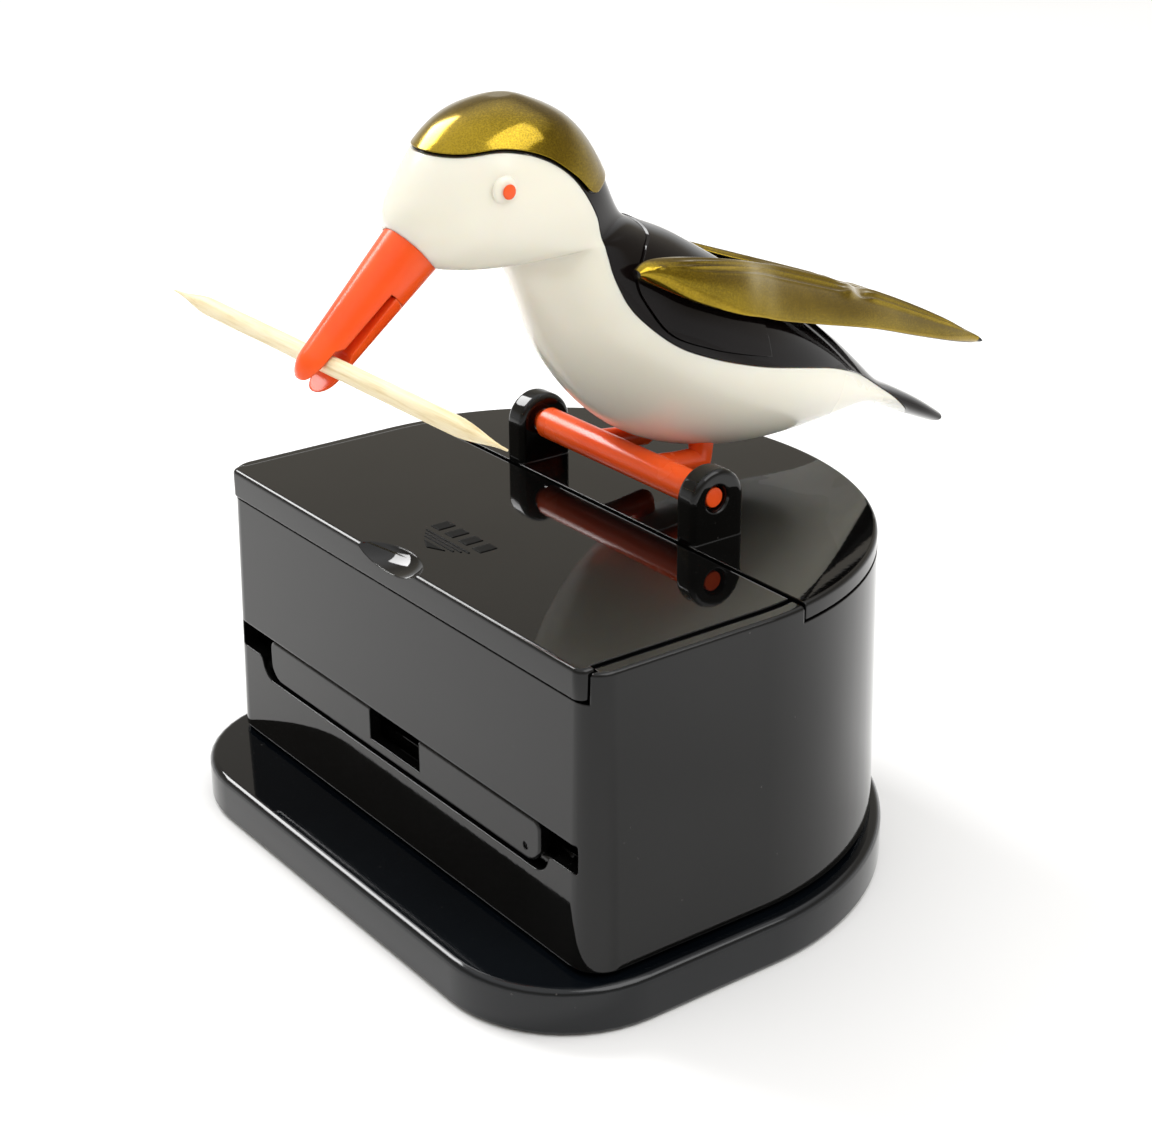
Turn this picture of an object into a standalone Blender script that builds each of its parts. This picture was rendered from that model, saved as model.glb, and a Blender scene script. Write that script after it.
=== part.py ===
"""Bowing-bird toothpick dispenser, built as separate sub-parts.

All sizes below are millimetres in one frame: x to the right, y to the back, z up.
y = 0 is the top of the box's front face and z = 0 is the underside of the base plate.
Run with: blender --background --python part.py
"""
import math

import bmesh
import bpy
from mathutils import Matrix, Vector

MM = 0.001
GAP = 0.3
FAR = 60.0

# Base plate
BASE_HALF = 39.0
BASE_FRONT = -9.4
BASE_CORNER = 15.0
BASE_CENTRE = 22.5
BASE_BACK = 36.2
BASE_THICK = 5.5

# Box
TOP = 39.7
HALF = 36.2
CORNER = 3.0
ARC_CENTRE = 22.4
ARC_DEPTH = 35.2
DRAFT = 0.021
WALL = 1.8
BODY_BOTTOM = BASE_THICK + GAP

# Front of the box
SLOT_LOW = 14.5
SLOT_HALF = 29.5
SLOT_TOP = 20.2
SLOT_CUT_BACK = 5.0
NOTCH_LOW = 17.0
NOTCH_HALF = 34.2

# Lid and rear cover
PLATE = 1.8
LID_HALF = HALF - WALL - GAP
SKIRT_HALF = 34.8
SKIRT_FRONT = -0.4
SKIRT_BACK = 1.3
RIM_DROP = 0.3
SKIRT = 3.4
LID_AXIS = Vector((0.0, 25.9, 38.6))
LID_BEAD = 1.4
SEAM = 27.6
LID_PIN = 0.5

# Gate
GATE_HALF = 27.6
GATE_TOP = 19.8
GATE_LOW = 14.8
GATE_THICK = 1.4
GATE_FRONT = -0.3
WINDOW_HALF = 5.1
WINDOW_LOW = 16.0
GATE_AXIS = Vector((0.0, 0.6, 15.8))

# Ears, perch bar and spring
PIVOT = Vector((0.0, 30.9, 44.6))
EAR_INNER = 14.4
EAR_OUTER = 17.5
EAR_HALF = 3.6
EAR_Y = 31.2
EAR_TOP = 47.8
BAR_RADIUS = 1.85
JOURNAL = 1.15
SPRING_WIRE = 0.25
SPRING_COIL = 1.75

# Bird shell stations from the crown to the tail tip:
# front or belly point (y, z), back point (y, z), half width
BIRD_STATIONS = (
    ((14.8, 86.95), (16.2, 87.0), 0.7),
    ((13.0, 86.8), (17.6, 86.85), 2.2),
    ((9.4, 85.6), (21.7, 85.2), 5.7),
    ((6.0, 83.0), (24.6, 82.5), 7.4),
    ((3.4, 79.2), (26.7, 79.0), 8.8),
    ((1.4, 75.1), (28.3, 75.7), 9.0),
    ((5.0, 70.5), (29.8, 73.3), 8.1),
    ((12.6, 71.3), (31.6, 72.2), 7.6),
    ((16.0, 69.4), (33.8, 71.2), 7.8),
    ((17.6, 66.3), (36.6, 69.9), 8.6),
    ((19.3, 62.4), (40.4, 67.6), 9.8),
    ((20.9, 58.4), (44.3, 65.2), 11.0),
    ((23.8, 54.2), (48.4, 62.5), 11.8),
    ((27.4, 50.2), (52.4, 59.9), 12.2),
    ((32.2, 46.8), (56.5, 57.1), 12.0),
    ((38.4, 44.7), (60.0, 54.5), 11.0),
    ((45.6, 43.9), (63.0, 52.0), 9.4),
    ((53.5, 44.4), (66.0, 49.2), 7.6),
    ((61.0, 45.1), (68.8, 46.6), 5.8),
    ((68.0, 43.6), (72.0, 44.9), 4.6),
    ((75.0, 40.4), (76.4, 42.5), 4.2),
    ((79.0, 38.7), (79.9, 40.2), 3.2),
)
SHELL = 1.5
PROUD = 0.35

# Side-view seam lines of the bird, (y, z)
CAP_SEAM = ((-2.0, 83.6), (4.4, 83.0), (7.4, 82.9), (11.5, 83.3), (15.6, 82.2), (19.1, 79.8),
            (21.7, 77.6))
CAP_REAR = ((24.2, 78.0), (31.0, 80.4))
FLANK_SEAM = (
    (21.9, 77.2), (22.1, 75.4), (22.9, 73.2), (23.6, 70.6), (24.4, 67.6), (26.2, 64.1),
    (30.2, 60.4), (35.0, 58.1), (41.5, 56.0), (48.3, 54.3), (53.8, 52.8), (58.0, 51.3),
    (62.4, 49.3), (67.4, 46.2), (71.8, 42.9), (84.0, 33.0),
)
SADDLE_SEAM = (
    (35.0, 78.0), (31.6, 72.2), (28.6, 70.4), (26.6, 67.6), (27.6, 64.6), (30.0, 61.4),
    (34.6, 59.3), (39.0, 57.9), (43.2, 56.8), (44.0, 70.0),
)
RIM_BAND = 0.3

# Beak
BEAK_BASE = Vector((0.0, 4.6, 73.4))
BEAK_TIP = Vector((0.0, -9.0, 61.0))
BEAK_BASE_RADIUS = 3.35
BEAK_TIP_RADIUS = 2.3
BEAK_ROOT = -0.09
SLIT_START = 0.33
SLIT_WIDTH = 0.7

# Toothpick
PICK_CENTRE = Vector((0.0, -6.7, 63.0))
PICK_HALF = 32.5
PICK_RADIUS = 1.0

# Wing, root to tip: upper edge (x, y, z), lower edge (x, y, z), outward bulge
WING_STATIONS = (
    (9.6, 25.6, 69.2, 9.8, 25.8, 68.2, 0.2),
    (9.0, 28.0, 69.8, 10.6, 28.6, 66.8, 0.5),
    (8.0, 34.2, 68.8, 11.6, 32.8, 64.7, 0.8),
    (5.2, 43.1, 66.1, 11.7, 38.7, 62.4, 1.2),
    (2.4, 49.0, 64.0, 11.2, 42.3, 61.3, 1.2),
    (1.2, 53.6, 62.6, 10.4, 46.0, 60.0, 1.0),
    (0.8, 61.2, 59.9, 8.6, 54.6, 57.5, 0.8),
    (0.8, 68.4, 57.2, 6.8, 63.8, 54.9, 0.5),
    (0.8, 75.4, 54.1, 5.0, 72.4, 52.0, 0.3),
    (0.9, 81.8, 50.8, 3.4, 80.5, 49.4, 0.2),
    (1.4, 87.0, 47.9, 1.5, 87.0, 47.5, 0.1),
)
WING_THICK = 0.7

# Screws and their bosses
BOSS_PLACES = ((-32.3, 13.0), (32.3, 13.0), (-21.8, 47.0), (21.8, 47.0))
BOSS_RADIUS = 3.2
BOSS_TOP = 13.0
SCREW_SHANK = 1.2
SCREW_HEAD = 2.3
SCREW_SEAT = 2.6

# Wing pegs, legs and eyes
PEG_X = 8.6
PEG_Y = 31.6
PEG_Z = 67.2
PEG_LONG = 3.0
PEG_RADIUS = 1.1
LEG_X = 5.2
HEEL = Vector((0.0, 38.6, 43.9))
LEG_TOP = Vector((0.0, 38.9, 47.2))
LEG_RADIUS = 1.35
JAW_ROOT = BEAK_BASE + (BEAK_TIP - BEAK_BASE) * SLIT_START
EYE_X = 8.3
EYE_Y = 10.6
EYE_Z = 79.5

# Colours
BLACK = (0.012, 0.012, 0.014, 1.0)
CREAM = (0.88, 0.85, 0.78, 1.0)
ORANGE = (0.90, 0.16, 0.05, 1.0)
GOLD = (0.55, 0.42, 0.10, 1.0)
STEEL = (0.62, 0.63, 0.65, 1.0)
WOOD = (0.86, 0.72, 0.47, 1.0)


def clear_scene():
    """Remove every object of the open scene."""
    for old in list(bpy.data.objects):
        bpy.data.objects.remove(old, do_unlink=True)


def plain_material(name, colour, roughness, metallic=0.0):
    """A Principled material of one colour."""
    made = bpy.data.materials.new(name)
    made.use_nodes = True
    shader = made.node_tree.nodes["Principled BSDF"]
    shader.inputs["Base Color"].default_value = colour
    shader.inputs["Roughness"].default_value = roughness
    shader.inputs["Metallic"].default_value = metallic
    made.diffuse_color = colour
    return made


def pivot_empty(name, place, parent=None, parent_place=None):
    """An empty on a joint's axis."""
    empty = bpy.data.objects.new(name, None)
    bpy.context.collection.objects.link(empty)
    start = parent_place if parent_place is not None else Vector()
    empty.parent = parent
    empty.location = (place - start) * MM
    empty.empty_display_size = 0.01
    return empty


def place_mesh(name, shape, material, empty=None, place=None, smooth=True):
    """Turn a bmesh in millimetres into a named object in metres, on its own joint empty."""
    origin = place if place is not None else Vector()
    bmesh.ops.remove_doubles(shape, verts=shape.verts, dist=1e-4)
    bmesh.ops.recalc_face_normals(shape, faces=shape.faces)
    bmesh.ops.transform(shape, matrix=Matrix.Scale(MM, 4) @ Matrix.Translation(-origin),
                        verts=shape.verts)
    mesh = bpy.data.meshes.new(name)
    shape.to_mesh(mesh)
    shape.free()
    mesh.materials.append(material)
    for face in mesh.polygons:
        face.use_smooth = smooth
    made = bpy.data.objects.new(name, mesh)
    bpy.context.collection.objects.link(made)
    made.parent = empty
    if empty is None:
        made.location = origin * MM
    return made


def combine(target, shape, operation, place=None):
    """Apply one exact Boolean with a tool shape given in millimetres."""
    tool = place_mesh("tool", shape, target.data.materials[0], target.parent, place)
    tool.hide_render = True
    tool.display_type = "WIRE"
    step = target.modifiers.new("step", "BOOLEAN")
    step.operation = operation
    step.solver = "EXACT"
    step.object = tool
    bpy.context.view_layer.update()
    evaluated = target.evaluated_get(bpy.context.evaluated_depsgraph_get())
    result = bpy.data.meshes.new_from_object(evaluated)
    result.name = target.name
    target.modifiers.clear()
    before = target.data
    target.data = result
    bpy.data.meshes.remove(before)
    bpy.data.objects.remove(tool, do_unlink=True)


def combined(first, second, operation):
    """The Boolean of two shapes, as a new shape in millimetres."""
    whole = place_mesh("whole", first, plain_material("scratch", BLACK, 0.5))
    combine(whole, second, operation)
    shape = bmesh.new()
    shape.from_mesh(whole.data)
    bmesh.ops.transform(shape, matrix=Matrix.Scale(1 / MM, 4), verts=shape.verts)
    bpy.data.objects.remove(whole, do_unlink=True)
    return shape


def cut(target, shape, place=None):
    """Take a shape away from an object."""
    combine(target, shape, "DIFFERENCE", place)


def join(target, shape, place=None):
    """Add a shape to an object."""
    combine(target, shape, "UNION", place)


def keep(target, shape, place=None):
    """Keep only what lies inside a shape."""
    combine(target, shape, "INTERSECT", place)


def loft(rings):
    """A closed solid through rings of equal point count, with flat ends."""
    shape = bmesh.new()
    rows = [[shape.verts.new(point) for point in ring] for ring in rings]
    count = len(rows[0])
    for lower, upper in zip(rows, rows[1:]):
        for index in range(count):
            after = (index + 1) % count
            shape.faces.new((lower[index], lower[after], upper[after], upper[index]))
    shape.faces.new(list(reversed(rows[0])))
    shape.faces.new(rows[-1])
    return shape


def box(x0, x1, y0, y1, z0, z1):
    """An upright block between two corners."""
    corners = ((x0, y0), (x1, y0), (x1, y1), (x0, y1))
    return loft([[Vector((x, y, z)) for x, y in corners] for z in (z0, z1)])


def rod(centre, axis, length, radius, segments=16):
    """A cylinder about an axis, centred on a point."""
    turn = Vector((0.0, 0.0, 1.0)).rotation_difference(Vector(axis)).to_matrix().to_4x4()
    shape = bmesh.new()
    bmesh.ops.create_cone(shape, cap_ends=True, segments=segments, radius1=radius,
                          radius2=radius, depth=length,
                          matrix=Matrix.Translation(centre) @ turn)
    return shape


def ball(centre, radii, rings=12):
    """An ellipsoid."""
    shape = bmesh.new()
    scale = Matrix.Diagonal((*radii, 1.0))
    bmesh.ops.create_uvsphere(shape, u_segments=2 * rings, v_segments=rings, radius=1.0,
                              matrix=Matrix.Translation(centre) @ scale)
    return shape


def side_prism(outline, half):
    """A solid of one side-view outline (y, z), across x from -half to half."""
    return loft([[Vector((x, y, z)) for y, z in outline] for x in (-half, half)])


def d_outline(inset, z, half=HALF, front=0.0, corner=CORNER, centre=ARC_CENTRE,
              back=ARC_DEPTH, per_corner=5, per_back=30):
    """A D-shaped outline at height z: straight front, round corners, half-oval back."""
    half -= inset
    front += inset
    corner = max(corner - inset, 0.3)
    back -= inset
    points = []
    for step in range(per_corner + 1):
        angle = -math.pi / 2 + math.pi / 2 * step / per_corner
        points.append((half - corner + corner * math.cos(angle),
                       front + corner + corner * math.sin(angle)))
    for step in range(per_back + 1):
        angle = math.pi * step / per_back
        points.append((half * math.cos(angle), centre + back * math.sin(angle)))
    for step in range(per_corner + 1):
        angle = math.pi + math.pi / 2 * step / per_corner
        points.append((-half + corner + corner * math.cos(angle),
                       front + corner + corner * math.sin(angle)))
    return [Vector((x, y, z)) for x, y in points]


def body_ring(z, inset=0.0):
    """The box's outline at height z, with its draft."""
    return d_outline(inset - DRAFT * (TOP - z), z)


def make_base(material):
    """Base plate with rounded rims and four counterbored screw holes."""
    sizes = dict(half=BASE_HALF, front=BASE_FRONT, corner=BASE_CORNER,
                 centre=BASE_CENTRE, back=BASE_BACK)
    profile = ((0.0, 0.5), (0.5, 0.0), (4.6, 0.0), (5.2, 0.3), (BASE_THICK, 0.9))
    base = place_mesh("base_plate", loft([d_outline(inset, z, **sizes) for z, inset in profile]),
                      material)
    for x, y in BOSS_PLACES:
        cut(base, rod((x, y, 3.0), (0, 0, 1), 10.0, SCREW_SHANK + GAP, 12))
        cut(base, rod((x, y, 0.0), (0, 0, 1), 2.0 * SCREW_SEAT, SCREW_HEAD + GAP, 16))
    return base


def slot_solid():
    """The gate's slot: wide notches at both ends, sloped corners beside the gate."""
    right = ((NOTCH_HALF, SLOT_TOP), (NOTCH_HALF, NOTCH_LOW), (SLOT_HALF, NOTCH_LOW),
             (SLOT_HALF - 0.3, SLOT_LOW + 1.2), (SLOT_HALF - 2.8, SLOT_LOW))
    outline = list(right) + [(-x, z) for x, z in reversed(right)]
    return loft([[Vector((x, y, z)) for x, z in outline] for y in (-3.0, SLOT_CUT_BACK)])


def make_housing(material):
    """The box: a drafted D shell with slot, cover seat and screw bosses."""
    rim = TOP - RIM_DROP
    heights = ((BODY_BOTTOM, 0.4), (BODY_BOTTOM + 0.5, 0.0), (rim - 0.5, 0.0), (rim - 0.15, 0.15),
               (rim, 0.5))
    housing = place_mesh("housing", loft([body_ring(z, inset) for z, inset in heights]),
                         material)
    cavity = loft([body_ring(z, WALL) for z in (BODY_BOTTOM - 2, TOP + 2)])
    for x, y in BOSS_PLACES:
        boss = rod((x, y, BODY_BOTTOM + (BOSS_TOP - BODY_BOTTOM) / 2), (0, 0, 1),
                   BOSS_TOP - BODY_BOTTOM + 6.0, BOSS_RADIUS, 16)
        cavity = combined(cavity, boss, "DIFFERENCE")
    cut(housing, cavity)
    cut(housing, slot_solid())
    wide = SKIRT_HALF + GAP
    cut(housing, box(-wide, wide, -3, SKIRT_BACK + GAP, TOP - SKIRT - GAP, TOP + 5))
    wide = LID_HALF + GAP
    cut(housing, box(-wide, wide, -3, WALL + CORNER, TOP - SKIRT - GAP, TOP + 5))
    cut(housing, box(-FAR, FAR, SEAM - GAP, FAR + 10, TOP - PLATE - GAP, TOP + 5))
    cut(housing, rod((0, LID_AXIS.y, LID_AXIS.z), (1, 0, 0), 2 * (HALF - 0.7),
                     LID_PIN + 0.15, 12))
    cut(housing, rod((0, GATE_AXIS.y, GATE_AXIS.z), (1, 0, 0), 2 * (SLOT_HALF + 1.6), 0.8, 12))
    for x, y in BOSS_PLACES:
        cut(housing, rod((x, y, BODY_BOTTOM), (0, 0, 1), 12.0, SCREW_SHANK + GAP, 12))
    return housing


def make_chute(material):
    """Sloping floor of the pick bin, ending in the groove behind the gate."""
    top_line = ((24.6, 36.0), (24.6, 27.0), (22.0, 24.4), (7.0, 17.4), (4.6, 16.4),
                (2.6, 16.4), (2.2, 16.8))
    low_line = ((2.2, 14.4), (8.2, 14.4), (9.4, 16.8), (23.2, 23.2), (26.0, 26.2), (26.0, 36.0))
    return place_mesh("pick_chute", side_prism(top_line + low_line, HALF - WALL - GAP - 0.3),
                      material, smooth=False)


def make_cover(material):
    """Fixed rear cover with the two ears that carry the perch bar."""
    seat = TOP - PLATE
    cover = place_mesh("rear_cover", loft([d_outline(0.0, seat), d_outline(0.0, TOP - 0.35),
                                           d_outline(0.35, TOP)]), material)
    cut(cover, box(-FAR, FAR, -5, SEAM, 0, 60))
    rim = loft([d_outline(WALL + GAP, z) for z in (34.5, seat + 0.4)])
    rim = combined(rim, loft([d_outline(WALL + GAP + 1.2, z) for z in (30.0, seat)]), "DIFFERENCE")
    rim = combined(rim, box(-FAR, FAR, -5, SEAM + 1.6, 0, 60), "DIFFERENCE")
    join(cover, rim)
    for side in (-1, 1):
        join(cover, ear(side))
        centre = (side * (EAR_INNER + EAR_OUTER) / 2, PIVOT.y, PIVOT.z)
        cut(cover, rod(centre, (1, 0, 0), 6.0, JOURNAL + GAP, 20))
    pocket = (EAR_INNER, PIVOT.y, PIVOT.z)
    cut(cover, rod(pocket, (1, 0, 0), 2.6, SPRING_COIL + SPRING_WIRE + 0.35, 24))
    return cover


def ear(side):
    """One upright ear with a round top and softened rims."""
    centre_z = EAR_TOP - EAR_HALF
    rings = []
    inner = side * EAR_INNER
    outer = side * EAR_OUTER
    soft = 0.5
    for x, shrink in ((inner, soft), (inner + side * soft, 0.0),
                      (outer - side * soft, 0.0), (outer, soft)):
        radius = EAR_HALF - shrink
        points = [(EAR_Y + radius, TOP - 1.0)]
        for step in range(13):
            angle = math.pi * step / 12
            points.append((EAR_Y + radius * math.cos(angle),
                           centre_z + radius * math.sin(angle)))
        points.append((EAR_Y - radius, TOP - 1.0))
        rings.append([Vector((x, y, z)) for y, z in points])
    return loft(rings)


def make_lid(material, empty):
    """Flip lid: flat plate, front skirt, hinge bead and thumb scoop."""
    bead = []
    for step in range(11):
        angle = math.radians(-140 + 187 * step / 10)
        bead.append((LID_AXIS.y + LID_BEAD * math.cos(angle),
                     LID_AXIS.z + LID_BEAD * math.sin(angle)))
    under = TOP - PLATE
    profile = [(0.6, under), (24.4, under)] + bead + [(26.85, TOP), (0.6, TOP)]
    lid = place_mesh("lid", side_prism(profile, LID_HALF), material, empty, LID_AXIS)
    keep(lid, loft([d_outline(WALL + GAP, z, front=-5.0) for z in (30, 50)]), LID_AXIS)
    skirt = loft([d_outline(inset, z, half=SKIRT_HALF, front=SKIRT_FRONT, corner=1.2)
                  for z, inset in ((TOP - SKIRT, 0.15), (TOP - SKIRT + 0.15, 0.0),
                                   (TOP - 0.45, 0.0), (TOP - 0.12, 0.12), (TOP, 0.4))])
    skirt = combined(skirt, box(-FAR, FAR, -5, SKIRT_BACK, 30, 50), "INTERSECT")
    join(lid, skirt, LID_AXIS)
    cut(lid, ball((0.0, -1.4, TOP + 1.1), (6.8, 4.6, 2.6), 12), LID_AXIS)
    for side in (-1, 1):
        cut(lid, rod((side * (LID_HALF - 1.0), LID_AXIS.y, LID_AXIS.z), (1, 0, 0), 8.0,
                     LID_PIN + GAP, 12), LID_AXIS)
    return lid


def make_lid_pin(name, side, material):
    """Steel hinge pin, pressed into the box wall and running in the lid's bead."""
    centre = (side * (HALF - 3.4), LID_AXIS.y, LID_AXIS.z)
    pin = rod(centre, (1, 0, 0), 4.6, LID_PIN, 12)
    return place_mesh(name, pin, material)


def make_gate(material, empty):
    """Gate plate with a window open at its top and a trunnion at each end."""
    back = GATE_FRONT + GATE_THICK
    outline = []
    for x, z, start, radius in ((GATE_HALF, GATE_LOW, -90, 2.2), (GATE_HALF, GATE_TOP, 0, 0.9),
                                (-GATE_HALF, GATE_TOP, 90, 0.9), (-GATE_HALF, GATE_LOW, 180, 2.2)):
        mid_x = x - math.copysign(radius, x)
        mid_z = z + radius if z == GATE_LOW else z - radius
        for step in range(5):
            angle = math.radians(start + 90 * step / 4)
            outline.append((mid_x + radius * math.cos(angle), mid_z + radius * math.sin(angle)))
    rings = []
    for y, inset in ((GATE_FRONT, 0.2), (GATE_FRONT + 0.2, 0.0), (back, 0.0)):
        grow = 1.0 - inset / GATE_HALF
        mid = (GATE_LOW + GATE_TOP) / 2
        squash = 1.0 - 2 * inset / (GATE_TOP - GATE_LOW)
        rings.append([Vector((x * grow, y, mid + (z - mid) * squash)) for x, z in outline])
    gate = place_mesh("gate_plate", loft(rings), material, empty, GATE_AXIS)
    cut(gate, box(-WINDOW_HALF, WINDOW_HALF, -3, 5, WINDOW_LOW, GATE_TOP + 3), GATE_AXIS)
    cut(gate, rod((25.1, GATE_FRONT, GATE_LOW + 1.4), (0, 1, 0), 0.8, 0.4, 10), GATE_AXIS)
    for side in (-1, 1):
        join(gate, rod((side * GATE_HALF, GATE_AXIS.y, GATE_AXIS.z), (1, 0, 0), 5.8, 0.5, 12),
             GATE_AXIS)
    return gate


def make_screw(name, x, y, material):
    """Self-tapping screw: pan head with a cross recess and a shank."""
    low = SCREW_SEAT - 1.5
    profile = ((low, SCREW_HEAD - 0.5), (low + 0.5, SCREW_HEAD), (SCREW_SEAT - GAP, SCREW_HEAD),
               (SCREW_SEAT - GAP, SCREW_SHANK), (10.6, SCREW_SHANK), (11.6, 0.3))
    rings = []
    for z, radius in profile:
        rings.append([Vector((x + radius * math.cos(2 * math.pi * step / 14),
                              y + radius * math.sin(2 * math.pi * step / 14), z))
                      for step in range(14)])
    screw = place_mesh(name, loft(rings), material)
    for turned in (False, True):
        long, short = (0.35, 1.3) if turned else (1.3, 0.35)
        cut(screw, box(x - long, x + long, y - short, y + short, low - 1, low + 0.7))
    return screw


def smooth_stations(stations, steps):
    """Catmull-Rom interpolation of equal-length number rows."""
    rows = []
    last = len(stations) - 1
    for index in range(last):
        p0 = stations[max(index - 1, 0)]
        p1 = stations[index]
        p2 = stations[index + 1]
        p3 = stations[min(index + 2, last)]
        for step in range(steps):
            t = step / steps
            rows.append([0.5 * (2 * b + (c - a) * t + (2 * a - 5 * b + 4 * c - d) * t * t
                                + (3 * b - a - 3 * c + d) * t ** 3)
                         for a, b, c, d in zip(p0, p1, p2, p3)])
    rows.append(list(stations[last]))
    return rows


def bird_solid(grow, steps=2, segments=24, first=0, last=None):
    """The bird's whole outer form, lofted through its stations and grown or shrunk."""
    flat = [(*front, *back, half) for front, back, half in BIRD_STATIONS]
    rows = smooth_stations(flat, steps)
    end = len(rows) - 1 if last is None else last * steps
    rings = []
    crown = 3 * steps
    for number, row in enumerate(rows[first * steps:end + 1]):
        lift = Vector((0.0, 0.0, max(grow, 0.0) * max(1.0 - number / crown, 0.0)))
        front = Vector((0.0, row[0], row[1]))
        back = Vector((0.0, row[2], row[3]))
        middle = (front + back) / 2
        reach = (back - front) / 2
        reach = reach * max(1.0 + grow / reach.length, 0.15)
        half = max(row[4] + grow, 0.4)
        rings.append([middle + lift + reach * math.cos(2 * math.pi * step / segments)
                      + Vector((half * math.sin(2 * math.pi * step / segments), 0.0, 0.0))
                      for step in range(segments)])
    return loft(rings)


def shifted(line, distance):
    """A side-view line moved sideways; positive is to its left."""
    moved = []
    for index, point in enumerate(line):
        before = Vector(line[max(index - 1, 0)])
        after = Vector(line[min(index + 1, len(line) - 1)])
        along = (after - before).normalized()
        moved.append((point[0] - along.y * distance, point[1] + along.x * distance))
    return moved


def upper_region(drop):
    """Everything above the white shell's upper edge, lowered by a distance."""
    line = shifted(CAP_SEAM, -drop - RIM_BAND)[:-1] + shifted(FLANK_SEAM, -drop)[1:]
    return side_prism(line + [(90.0, 36.0), (90.0, 100.0), (-8.0, 100.0)], FAR)


def cap_region(drop):
    """Everything above the crown cap's lower edge, lowered by a distance."""
    line = shifted(CAP_SEAM + CAP_REAR, -drop)
    return side_prism(line + [(40.0, 100.0), (-8.0, 100.0)], FAR)


def saddle_region(grow):
    """The mantle that carries the wings."""
    return side_prism(shifted(SADDLE_SEAM, -grow), FAR)


def make_bird_shells(materials, empty):
    """White lower shell, black back shell, wing saddle and crown cap, split along seams."""
    half_gap = GAP / 2
    white = place_mesh("bird_body", bird_solid(0.0), materials["cream"], empty, PIVOT)
    cut(white, bird_solid(-SHELL, first=2, last=19), PIVOT)
    cut(white, upper_region(half_gap), PIVOT)
    cut(white, beak_solid(GAP, BEAK_ROOT - 0.02), PIVOT)
    for side in (-1, 1):
        for rod_shape in leg_rods(side, GAP):
            cut(white, rod_shape, PIVOT)
        cut(white, ball(Vector((side * EYE_X, EYE_Y, EYE_Z)), (0.7, 1.1, 1.1), 6), PIVOT)
    back = place_mesh("back_shell", bird_solid(0.0), materials["black"], empty, PIVOT)
    cut(back, bird_solid(-SHELL, first=2, last=19), PIVOT)
    keep(back, upper_region(-half_gap), PIVOT)
    cut(back, cap_region(half_gap), PIVOT)
    cut(back, saddle_region(half_gap), PIVOT)
    saddle = place_mesh("wing_saddle", bird_solid(PROUD), materials["black"], empty, PIVOT)
    cut(saddle, bird_solid(-SHELL, first=2, last=19), PIVOT)
    keep(saddle, saddle_region(-half_gap), PIVOT)
    for side in (-1, 1):
        cut(saddle, wing_peg(side, GAP), PIVOT)
    cap = place_mesh("crown_cap", bird_solid(PROUD), materials["gold"], empty, PIVOT)
    cut(cap, bird_solid(-SHELL, first=2, last=19), PIVOT)
    keep(cap, cap_region(-half_gap), PIVOT)
    return white, back, saddle, cap


def leg_rods(side, grow):
    """One leg as two rods: back from the perch bar to the heel, and up into the belly."""
    shift = Vector((side * LEG_X, 0.0, 0.0))
    shapes = []
    for start, end, over in ((PIVOT, HEEL, LEG_RADIUS * 0.8), (HEEL, LEG_TOP, grow)):
        leg = end - start
        middle = start + shift + leg / 2 + leg.normalized() * over / 2
        shapes.append(rod(middle, leg, leg.length + over, LEG_RADIUS + grow, 12))
    return shapes


def make_perch(material, empty):
    """Perch bar with its end journals and the two legs that reach up into the belly."""
    perch = place_mesh("perch_bar", rod(PIVOT, (1, 0, 0), 2 * (EAR_INNER - 0.7), BAR_RADIUS, 20),
                       material, empty, PIVOT)
    join(perch, rod(PIVOT, (1, 0, 0), 2 * (EAR_OUTER - 0.4), JOURNAL, 16), PIVOT)
    for side in (-1, 1):
        for rod_shape in leg_rods(side, 0.0):
            join(perch, rod_shape, PIVOT)
    return perch


def make_spring(material):
    """Torsion spring in the right ear's pocket, one leg standing out behind the bar."""
    turns = 1.6
    steps = 30
    first_x = EAR_INNER + 0.85
    last_x = EAR_INNER - 0.35
    points = []
    for step in range(steps + 1):
        share = step / steps
        angle = 2 * math.pi * turns * share - 1.2
        points.append(Vector((first_x + (last_x - first_x) * share,
                              PIVOT.y + SPRING_COIL * math.cos(angle),
                              PIVOT.z + SPRING_COIL * math.sin(angle))))
    along = (points[-1] - points[-2]).normalized()
    along.x = 0.0
    points.append(points[-1] + along * 1.2)
    curve = bpy.data.curves.new("spring_path", "CURVE")
    curve.dimensions = "3D"
    curve.bevel_depth = SPRING_WIRE * MM
    curve.bevel_resolution = 1
    curve.use_fill_caps = True
    path = curve.splines.new("POLY")
    path.points.add(len(points) - 1)
    for slot, point in zip(path.points, points):
        slot.co = (*(point * MM), 1.0)
    curve.materials.append(material)
    spring = bpy.data.objects.new("torsion_spring", curve)
    bpy.context.collection.objects.link(spring)
    return spring


def ring_on(centre, axis, radius, segments, squash=1.0):
    """A ring of points about an axis in the side plane, x across."""
    across = Vector((1.0, 0.0, 0.0))
    up = Vector(axis).normalized().cross(across)
    return [centre + across * (radius * math.cos(2 * math.pi * step / segments))
            + up * (radius * squash * math.sin(2 * math.pi * step / segments))
            for step in range(segments)]


def beak_solid(grow=0.0, low=0.0, high=1.0):
    """The whole beak: a cone from the face to a blunt rounded tip."""
    axis = BEAK_TIP - BEAK_BASE
    profile = [(low, 0.0), (0.5, 0.0), (0.86, 0.0), (0.94, -0.12), (0.98, -0.45), (high, -1.1)]
    rings = []
    for share, shrink in profile:
        radius = BEAK_BASE_RADIUS + (BEAK_TIP_RADIUS - BEAK_BASE_RADIUS) * share
        rings.append(ring_on(BEAK_BASE + axis * share, axis, radius + shrink + grow, 20))
    return loft(rings)


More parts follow.
